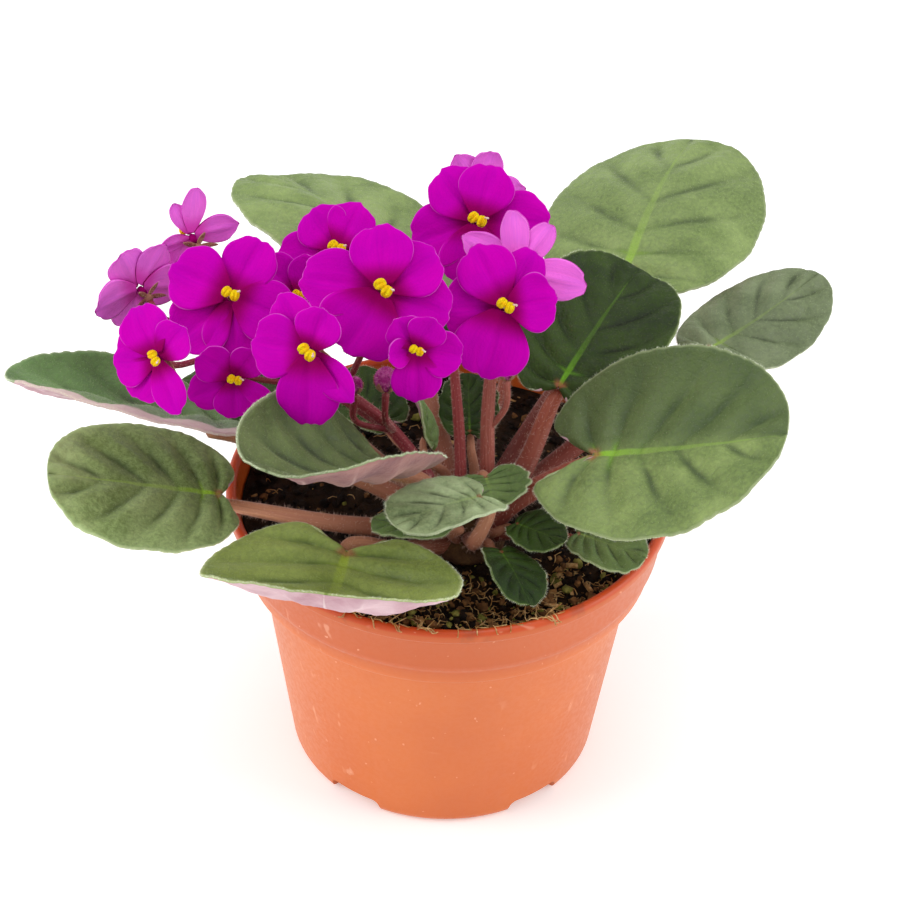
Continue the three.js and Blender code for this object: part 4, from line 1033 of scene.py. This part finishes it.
# stalk and fork, centre of the throat, face and its rise, turn, size, then the petals: bearing from
# the top, length, width, layer, fold
blooms = {
    "bloom_top": ("stalk_right", 0, (5, 23, 156.7), (-88, 38), 13, 0.97, [
        (24, 16.5, 15.5, 0.6, 8), (-29, 15.5, 15.5, 1.3, 10), (98, 18.5, 17.5, -0.4, 14),
        (-106, 20, 18, -0.3, 14), (160, 18, 18, 0.2, 20)]),
    "bloom_right": ("stalk_right", 0, (12.5, -8, 152), (-84, 40), -2, 0.92, [
        (27, 18.5, 17, 0.9, 4), (-29, 18, 12.5, 0.2, 10), (92, 17, 18.5, -0.5, 8),
        (-84, 14.5, 17, 1.3, -16), (162, 20.5, 22, 0.4, 16)]),
    "bloom_right_back": ("stalk_right", 0, (15.5, 6.5, 152.5), (80, -20), 10, 0.86, [
        (20, 18.5, 8.5, 0.8, 4), (-18, 19, 9, 0.4, 4), (84, 21.5, 13, 0.2, 6),
        (-74, 19, 10.5, 1.2, 6), (180, 10, 12, 0.8, 4)]),
    "bloom_top_back": ("stalk_right", 0, (6, 42, 151), (96, -6), -8, 0.8, [
        (20, 17, 11, 0.8, 4), (-20, 17, 10.5, 1.3, 4), (92, 15, 12, 0.5, 4),
        (-92, 15, 12, 0.6, 4), (180, 15, 13, 1.1, 2)]),
    "bloom_centre": ("stalk_left", 0, (-18, -14, 160.5), (-92, 42), -20, 1.02, [
        (26, 16, 16, 1.3, 6), (-34, 16, 15, 0.7, 10), (104, 21, 17, -0.2, 12),
        (-88, 17.5, 16.5, -0.3, 10), (171, 18, 23, 0.3, 14)]),
    "bloom_centre_back": ("stalk_centre", 0, (-31, 22, 146.5), (-96, 44), 4, 0.95, [
        (36, 13.5, 15, 0.7, 4), (-26, 14, 14, 1.2, 4), (103, 17.5, 15, 0, 10),
        (-100, 17, 15, 0.1, 10), (180, 17, 17, 0.5, 14)]),
    "bloom_small": ("stalk_centre", 0, (-9.5, -31, 155.7), (-84, 22), 0, 0.72, [
        (31, 13.5, 14, 0.8, -20), (-30, 13, 14.5, 1.3, -20), (98, 12, 12, 0.2, -60),
        (-103, 16.5, 17, 0.4, -6), (180, 19.5, 18, 0.9, 10)]),
    "bloom_left_front": ("stalk_left", 0, (-35, -35.5, 157), (-108, 30), 6, 0.96, [
        (36, 16.5, 12, 0.1, 6), (-18, 12, 13, 1.2, -10), (88, 16, 17, 0.6, 4),
        (-132, 17, 9, 0.1, -10), (-178, 19.5, 17.5, 1, 14)]),
    "bloom_left": ("stalk_left", 0, (-57, -6, 151), (-92, 46), 17, 0.92, [
        (50, 18.5, 19, 1.3, 4), (-42, 18, 16, 0.7, 6), (116, 20.2, 19, -0.2, 16),
        (-128, 18, 18, 0.8, 10), (170, 17.5, 18, 0.1, 18)]),
    "bloom_left_behind": ("stalk_left", 0, (-41, 7, 142.5), (-76, 36), 0, 0.78, [
        (40, 17.5, 15, 0.7, -4), (-22, 14, 12, 1.2, -18), (100, 17, 16, 0.1, 6),
        (-100, 16, 16, 0.2, 8), (180, 17, 17, 0.5, 12)]),
    "bloom_left_low": ("stalk_left", 0, (-55.5, -25, 140), (-80, 22), 0, 0.75, [
        (50, 16, 14, 0.2, -30), (-40, 13, 13, 0.6, -30), (114, 16.5, 14, 0, 8),
        (-128, 16.5, 7, 1.3, -10), (180, 14.5, 15, 0.8, 10)]),
    "bloom_far_left": ("stalk_left", 1, (-73, -34.5, 152.5), (-112, 34), -8, 0.8, [
        (46, 17.5, 17, 0.9, 2), (-24, 14, 14, 0.5, -20), (114, 15, 18, 0.3, 4),
        (-135, 18.5, 11, 1.3, 4), (168, 15, 16, 0, 10)]),
    "bloom_side": ("stalk_left", 1, (-69, 18, 152), (115, 5), 0, 0.85, [
        (8, 17, 8, 0.5, -10), (-22, 12, 6, 1, -30), (87, 15, 11, 0.2, 10),
        (-100, 11, 6, 0, 10), (-150, 13, 9, 0.6, 8)]),
    "bloom_from_behind": ("stalk_left", 1, (-81.5, 4, 145), (128, 4), 10, 0.8, [
        (34, 16, 14, 0.6, -8), (-30, 16, 14, 1.1, -8), (98, 17, 16, 0, 6),
        (-104, 17, 16, 0.1, 6), (180, 16, 17, 0.8, 10)]),
}
petalShape = {
    "thickness": 0.5, "layer": 1.15, "rise": 1.2, "riseOver": 7, "root": 0.12, "shoulder": 0.62,
    "corner": 1.2, "ruffle": 0.45, "ruffleAt": 15, "waves": (0.36, 0.75), "crease": 0.5, "creaseWidth": 1.1,
    "roll": 0.5, "cup": 0.7, "cupWidth": 7.5, "start": 0.07, "tipFrom": 0.55, "tipRows": 0.45,
    "lobes": ((0.022, 0.9), (0.01, 2.1)), "grid": (20, 28),
}
throat = {
    "frontRadius": 2.7, "backRadius": 2.3, "front": 1.9, "back": 3.8,
    "funnel": ((0.35, 0), (0.3, -0.5), (0.5, -1.0)),
}
petalFace = petalMaterial("petalFace", (190, 0, 166), (132, 0, 72), (236, 120, 220))
petalBack = petalMaterial("petalBack", (255, 122, 238), (226, 66, 190), (255, 220, 248))
throatSkin = petalMaterial("throatSkin", (140, 0, 90), (80, 0, 40), (200, 90, 170))


def bloomPlace(bloom):
    centre, face, turn = bloom[2:5]
    out = polarWay(*face)
    up = (Vector((0, 0, 1)) - out * out.z).normalized()
    up = Matrix.Rotation(math.radians(turn), 3, out) @ up
    return np.array(Matrix((up.cross(out), up, out)).transposed()), np.array(centre, float)


def onBloom(bloom, local):  # from a bloom's own axes to the plant's
    turn, centre = bloomPlace(bloom)
    return local * bloom[5] @ turn.T + centre


def makePetal(bloom, petal, seed):
    p = petalShape
    bearing, length, width, layer, foldBack = petal
    size, fold = bloom[5], math.radians(foldBack) / length + 1e-7
    rng = random.Random(seed)
    grid, across, along = newGrid(*p["grid"])
    tip = np.clip((along - p["tipFrom"]) / p["tipRows"], 0, 1)  # rows close up towards the tip
    share = p["start"] + (p["shoulder"] - p["start"]) * np.minimum(along / p["tipFrom"], 1)
    share = share + (1 - p["shoulder"]) * np.sin(tip * math.pi / 2)
    spread = np.sin(np.minimum(1, share / p["shoulder"]) * math.pi / 2)
    past = np.clip((share - p["shoulder"]) / (1 - p["shoulder"]), 0, 1)
    half = width / 2 * (p["root"] + (1 - p["root"]) * spread) * np.sqrt(np.maximum(0, 1 - past ** 2))
    v = across * half
    lobes = 1
    for depth, rate in p["lobes"]:
        lobes = lobes + depth * np.sin(v * rate + rng.uniform(0, 6)) * share
    u = share * length * lobes - np.abs(across) ** 2 * share * p["corner"] * half / width
    out = np.hypot(u, v)
    rim = np.sqrt(past ** 2 + across ** 2 * (1 - past ** 2))
    height = p["rise"] * np.sin(np.minimum(1, out / p["riseOver"]) * math.pi / 2)
    height = height - (1 - np.cos(fold * out)) / fold + layer * p["layer"]
    slow, fast = p["waves"]
    wave = np.sin(slow * v + rng.uniform(0, 6)) + 0.5 * np.sin(fast * v + 4 * share + rng.uniform(0, 6))
    height += p["ruffle"] * wave * share ** 2 * width / p["ruffleAt"]
    height -= p["crease"] * np.exp(-((v / p["creaseWidth"]) ** 2)) * np.sin(np.pi * share)
    height -= p["roll"] * rim ** 5 * share
    height += p["cup"] * (v / p["cupWidth"]) ** 2
    drawnIn = np.sin(fold * out) / (fold * out)
    placeCoords(grid, onBloom(bloom, swungOut(u * drawnIn, v * drawnIn, height, math.radians(90 + bearing))))
    edge = grid.data.attributes.new("edge", "FLOAT", "POINT")
    edge.data.foreach_set("value", rim)
    dress(grid, petalBack, petalFace)
    mergeDoubles(grid, 0.004 * mm)
    return applyModifier(grid, "SOLIDIFY", thickness=p["thickness"] * size * mm, offset=0, material_offset=1,
                         material_offset_rim=1)


def makeThroat(bloom):
    # the corolla tube: a short cylinder, its front sunk into a funnel
    t = throat
    letGo()
    bpy.ops.mesh.primitive_cylinder_add(vertices=20, radius=t["frontRadius"], depth=t["front"] + t["back"],
                                        location=(0, 0, (t["front"] - t["back"]) / 2))
    tube = applyPlace(bpy.context.object)
    openTop(tube)
    for thickness, depth in t["funnel"]:
        bpy.ops.mesh.inset(thickness=thickness, depth=depth)
    bpy.ops.mesh.select_all(action="DESELECT")
    closeMesh()
    coords = coordsOf(tube)
    taper = np.where(coords[:, 2] < -t["back"] + 0.1, t["backRadius"] / t["frontRadius"], 1.0)
    coords[:, :2] *= taper[:, None]
    placeCoords(tube, onBloom(bloom, coords))
    dress(tube, throatSkin)
    return tube


for bloomName, bloomFacts in blooms.items():
    seed = seedOf(bloomName) * 7
    petals = [makePetal(bloomFacts, petal, seed + i) for i, petal in enumerate(bloomFacts[6])]
    finishPiece(joined(petals + [makeThroat(bloomFacts)]), titleOf(bloomName), [bloomName])
say("blooms")

anther = {
    "radius": 1.7, "apart": 1.15, "spread": 1.08, "ahead": 2.8, "cleft": 0.42, "cleftWidth": 0.24, "tilt": 14,
    "squash": (0.82, 1.02, 0.72), "filamentRadius": 0.8, "filamentLength": 2.6,
    "style": ((0.9, 0.6, 0.5), (1.6, 1.3, 3.5), (2.6, 1.4, 6.2)), "styleRadii": (0.28, 0.24, 0.22, 0.42),
}
pollen = grainMaterial("pollen", (255, 228, 12), (255, 188, 0), 0.45, 0.7, broad=700.0, fine=3000.0)
filamentSkin = grainMaterial("filamentSkin", (246, 228, 210), (226, 170, 170), 0.4, 0.6, broad=600.0)


def makeAntherLobe(side):
    a = anther
    letGo()
    bpy.ops.mesh.primitive_uv_sphere_add(segments=20, ring_count=12, radius=a["radius"])
    lobe = bpy.context.object
    coords = coordsOf(lobe) / a["radius"]
    cleft = np.exp(-((coords[:, 0] / a["cleftWidth"]) ** 2)) * a["cleft"]
    cleft = 1 - cleft * np.clip(coords[:, 2] + 0.4, 0, 1)
    coords = coords * cleft[:, None] * np.multiply(a["squash"], a["radius"])
    tilt = np.array(Matrix.Rotation(math.radians(a["tilt"] * side), 3, "Z"))
    coords = coords @ tilt.T + (side * a["apart"] * a["spread"], 0.1, throat["front"] + a["ahead"])
    placeCoords(lobe, coords, 1)
    dress(lobe, pollen)
    return lobe


def makeAnthers(name, bloom):
    a, size, front = anther, bloom[5], throat["front"]
    lobes = [makeAntherLobe(side) for side in (-1, 1)]
    letGo()
    bpy.ops.mesh.primitive_cylinder_add(vertices=12, radius=a["filamentRadius"], depth=a["filamentLength"],
                                        location=(0, 0, front + a["filamentLength"] / 2 + 0.3 / size))
    filament = applyPlace(bpy.context.object)
    dress(filament, filamentSkin)
    style, _ = makeStem([(x, y, front + z) for x, y, z in a["style"]], a["styleRadii"], 8, 10, filamentSkin)
    placeCoords(style, coordsOf(style) / mm, 1)
    whole = joined([*lobes, filament, style])
    turn, centre = bloomPlace(bloom)
    spin = np.array(Matrix.Rotation(math.radians(-18 - 7 * (seedOf(name) % 4)), 3, "Z"))
    placeCoords(whole, coordsOf(whole) * size @ spin.T @ turn.T + centre)
    finishPiece(whole, titleOf(name) + "Anthers", [name + "_anthers"])


for bloomName, bloomFacts in blooms.items():
    makeAnthers(bloomName, bloomFacts)
say("anthers")

# foot, the next point, forks, radius
sprays = {
    "stalk_right": ((10, -12), (9.5, -10, 113), [(10, -7, 135)], 2),
    "stalk_centre": ((3, -13), (2, -9, 114), [(0, -3, 131)], 1.6),
    "stalk_left": ((-3, -15), (-15, -10, 112), [(-28, -9, 124), (-52, 2, 131)], 1.8),
}
# stalk, centre, radius
buds = {
    "bud_centre": ("stalk_left", (-17, -19, 136), 3),
    "bud_right": ("stalk_right", (14, -11, 134), 2.4),
    "bud_left": ("stalk_left", (-25, -14, 130), 2),
}
calyx = {
    "count": 5, "length": 6.4, "width": 1.7, "thickness": 0.35, "behind": 0.7, "bud": 1.15, "start": 0.7,
    "curl": 0.9, "gutter": 0.35, "first": 36, "cupRadius": 1.5, "hairs": 70, "hairReach": 7, "hug": 1.06,
    "budFurrow": 0.12, "budThickness": 0.3, "budFirst": 20, "grid": (6, 10),
}
pedicelShape = {
    "radii": (0.9, 0.8, 0.9), "budRadii": (0.9, 0.8, 1), "grid": (10, 18), "behind": 9, "sag": 2.5,
    "gap": 0.3, "into": 0.15, "hairThick": 0.03,
}
stalkSkins = {
    "stalk_right": stemMaterial("stalkPink", (162, 86, 76), (136, 64, 54), (186, 112, 98)),
    "stalk_centre": stemMaterial("stalkRose", (150, 58, 60), (124, 46, 46), (176, 90, 86)),
    "stalk_left": stemMaterial("stalkWine", (120, 34, 44), (104, 30, 38), (150, 60, 66)),
}
sepalSkin = grainMaterial("sepalSkin", (150, 92, 84), (176, 132, 104), 0.5, 0.7, broad=240.0)
budSkin = grainMaterial("budSkin", (158, 20, 118), (206, 104, 172), 0.45, 0.65, broad=500.0)


def makeSepal(bearing, depth):
    c = calyx
    grid, across, along = newGrid(*c["grid"])
    half = c["width"] / 2 * np.sin(np.pi * np.minimum(along * 0.85 + 0.15, 1)) ** 0.7
    out = c["start"] + along * (c["length"] - c["start"])
    height = -depth - c["curl"] * along ** 2 + c["gutter"] * np.abs(across) * (1 - along)
    placeCoords(grid, swungOut(out, across * half, height, math.radians(bearing)), 1)
    dress(grid, sepalSkin)
    mergeDoubles(grid, 0.01)
    return applyModifier(grid, "SOLIDIFY", thickness=c["thickness"], offset=0)


def makeCalyx(rng, bloom):
    c, size, count = calyx, bloom[5], calyx["hairs"]
    apart = 360 // c["count"]
    depth = throat["back"] + c["behind"] + 0.3 / size
    sepals = [makeSepal(apart * i + c["first"], depth) for i in range(c["count"])]
    letGo()
    bpy.ops.mesh.primitive_uv_sphere_add(segments=16, ring_count=8, radius=c["cupRadius"],
                                         location=(0, 0, -depth - 0.3))
    cup = applyPlace(bpy.context.object)
    dress(cup, sepalSkin)
    whole = joined([*sepals, cup])
    placeCoords(whole, onBloom(bloom, coordsOf(whole)))
    tips = rng.uniform(0.15, 1, count)
    swing = np.radians(rng.integers(0, c["count"], count) * apart + c["first"] + rng.uniform(-6, 6, count))
    reach = tips * c["hairReach"]
    roots = np.stack([reach * np.cos(swing), reach * np.sin(swing), -depth - c["curl"] * tips ** 2 - 0.2], -1)
    ways = np.stack([np.cos(swing) * 0.4, np.sin(swing) * 0.4, np.full(count, -1.0)], -1)
    ways = ways + rng.normal(0, 0.4, (count, 3))
    turn, _ = bloomPlace(bloom)
    lengths = rng.uniform(0.5, 1.1, count)
    return [whole, makeHairs(onBloom(bloom, roots), ways @ turn.T, lengths, stemHair, 0.03)]


def makePedicel(rng, bloom, fork, skin):
    p, (turn, centre) = pedicelShape, bloomPlace(bloom)
    depth = (throat["back"] + calyx["behind"]) * bloom[5] + p["gap"]
    behind = turn @ np.array([0, 0, -p["behind"]]) + centre - (0, 0, p["sag"])
    end = turn @ np.array([0, 0, -depth + p["into"]]) + centre
    tube, route = makeStem([fork, behind, end], p["radii"], *p["grid"], skin)
    return [tube, stemHairs(rng, route, 7, 0.8, p["hairThick"]), *makeCalyx(rng, bloom)]


def makeSpray(name, spray):
    p, ((footX, footY), via, forks, radius) = pedicelShape, spray
    rng = np.random.default_rng(seedOf(name))
    skin = stalkSkins[name]
    foot = [(footX, footY, crown["top"] - 5), (footX, footY, crown["top"] + 3)]
    radii = [radius * share for share in (1, 1, 0.9, 0.75)]
    parts = []
    for i, fork in enumerate(forks):
        points = [*foot, via, fork] if i == 0 else [via, fork]
        tube, route = makeStem(points, radii if i == 0 else radii[2:], 16, 36, skin)
        parts += [tube, stemHairs(rng, route, 12, 1.0)]
    for bloom in blooms.values():
        if bloom[0] == name:
            parts += makePedicel(rng, bloom, forks[bloom[1]], skin)
    for stalk, (x, y, z), budRadius in buds.values():
        if stalk == name:
            neck = z - budRadius * calyx["bud"] - p["gap"]
            points = [via, (x, y, neck - p["behind"]), (x, y, neck)]
            tube, route = makeStem(points, p["budRadii"], *p["grid"], skin)
            parts += [tube, stemHairs(rng, route, 9, 0.9, p["hairThick"])]
    finishPiece(joined(parts), titleOf(name), [name])


def makeBudSepal(bearing, centre, radius):  # hugs the bud from below
    c = calyx
    grid, across, along = newGrid(*c["grid"])
    swing = math.radians(bearing) + across * 0.42 * np.sin(np.pi * (0.25 + 0.75 * along)) ** 0.8
    rise = -math.pi / 2 * 0.9 + along * math.pi * 0.5
    out = radius * c["hug"] * np.cos(rise)
    up = radius * c["bud"] * c["hug"] * np.sin(rise)
    placeCoords(grid, np.stack([out * np.cos(swing), out * np.sin(swing), up], -1) + centre)
    dress(grid, sepalSkin)
    mergeDoubles(grid)
    return applyModifier(grid, "SOLIDIFY", thickness=c["budThickness"] * mm, offset=0)


def makeBud(name, bud):
    c, (_, centre, radius) = calyx, bud
    sizes = (radius, radius, radius * c["bud"])
    rng = np.random.default_rng(seedOf(name))
    letGo()
    bpy.ops.mesh.primitive_uv_sphere_add(segments=30, ring_count=18, radius=1)
    ball = bpy.context.object
    coords = coordsOf(ball)
    angle = np.arctan2(coords[:, 1], coords[:, 0])
    furrow = np.abs(np.cos(2.5 * angle + coords[:, 2])) ** 6
    furrow = 1 - c["budFurrow"] * furrow * (1 - np.abs(coords[:, 2]))
    placeCoords(ball, coords * furrow[:, None] * sizes + centre)
    dress(ball, budSkin)
    sepals = [makeBudSepal(360 // c["count"] * i + c["budFirst"], centre, radius) for i in range(c["count"])]
    count = int(c["hairs"] * radius)
    ways = unit(rng.normal(0, 1, (count, 3)))
    fuzz = makeHairs(ways * sizes + np.array(centre), ways, rng.uniform(0.5, 1.0, count), stemHair, 0.03)
    finishPiece(joined([ball, *sepals, fuzz]), titleOf(name), [name])


for sprayName, sprayFacts in sprays.items():
    makeSpray(sprayName, sprayFacts)
for budName, budFacts in buds.items():
    makeBud(budName, budFacts)
bpy.data.objects.remove(hairModel)
say("flower stalks")

studio = {
    "floor": (249, 250, 250), "floorSize": 16000, "lens": 135, "sensor": 36, "elevation": 39.0, "roll": 1.78,
    "distance": 900, "target": (-0.1, 0, 98), "world": 0.74, "floorGlow": 0.25, "lampAim": (0, 0, 100),
    "lamps": [  # place, size, power
        ((-700, -160, 460), 520, 3.0), ((720, -120, 420), 520, 2.4), ((0, 100, 950), 700, 2.6)],
}


def makeFloor():
    s = studio
    letGo()
    bpy.ops.mesh.primitive_plane_add(size=s["floorSize"] * mm, location=(0, 0, -0.05 * mm))
    floor = applyPlace(bpy.context.object)
    floor.name = "studioFloor"
    material, tree, shader = newMaterial("floorPaper", Roughness=0.9, Specular_IOR_Level=0.1,
                                         Emission_Strength=s["floorGlow"])
    shade = noiseNode(tree, objectCoords(tree), 3.0, 2.0)
    tint = mixNode(tree, shade, colour(*s["floor"]), colour(*[c - 3 for c in s["floor"]]))
    tree.links.new(tint, shader.inputs["Base Color"])
    dress(floor, material)


def makeLight():
    world = bpy.data.worlds.new("studioWorld")
    world.use_nodes = True
    sky = world.node_tree.nodes["Background"]
    sky.inputs["Color"].default_value = (1, 1, 1, 1)
    sky.inputs["Strength"].default_value = studio["world"]
    bpy.context.scene.world = world
    for i, (place, size, power) in enumerate(studio["lamps"]):
        bpy.ops.object.light_add(type="AREA", location=[c * mm for c in place])
        lamp = bpy.context.object
        lamp.name = f"softLamp{i}"
        lamp.data.size = size * mm
        lamp.data.energy = power
        aim = Vector(studio["lampAim"]) * mm - lamp.location
        lamp.rotation_euler = aim.to_track_quat("-Z", "Y").to_euler()
    bpy.context.scene.view_settings.view_transform = "Standard"


def makeCamera():
    s = studio
    rise, roll = math.radians(s["elevation"]), math.radians(s["roll"])
    back = Vector((0, -math.cos(rise), math.sin(rise)))
    right, up = Vector((1, 0, 0)), Vector((0, math.sin(rise), math.cos(rise)))
    across = right * math.cos(roll) + up * math.sin(roll)
    above = up * math.cos(roll) - right * math.sin(roll)
    place = (Vector(s["target"]) + back * s["distance"]) * mm
    bpy.ops.object.camera_add(location=place)
    camera = bpy.context.object
    camera.matrix_world = Matrix.Translation(place) @ Matrix((across, above, back)).transposed().to_4x4()
    camera.data.lens, camera.data.sensor_width = s["lens"], s["sensor"]
    camera.data.clip_start, camera.data.clip_end = 10 * mm, 20
    bpy.context.scene.camera = camera


makeFloor()
makeLight()
makeCamera()
say("stage")
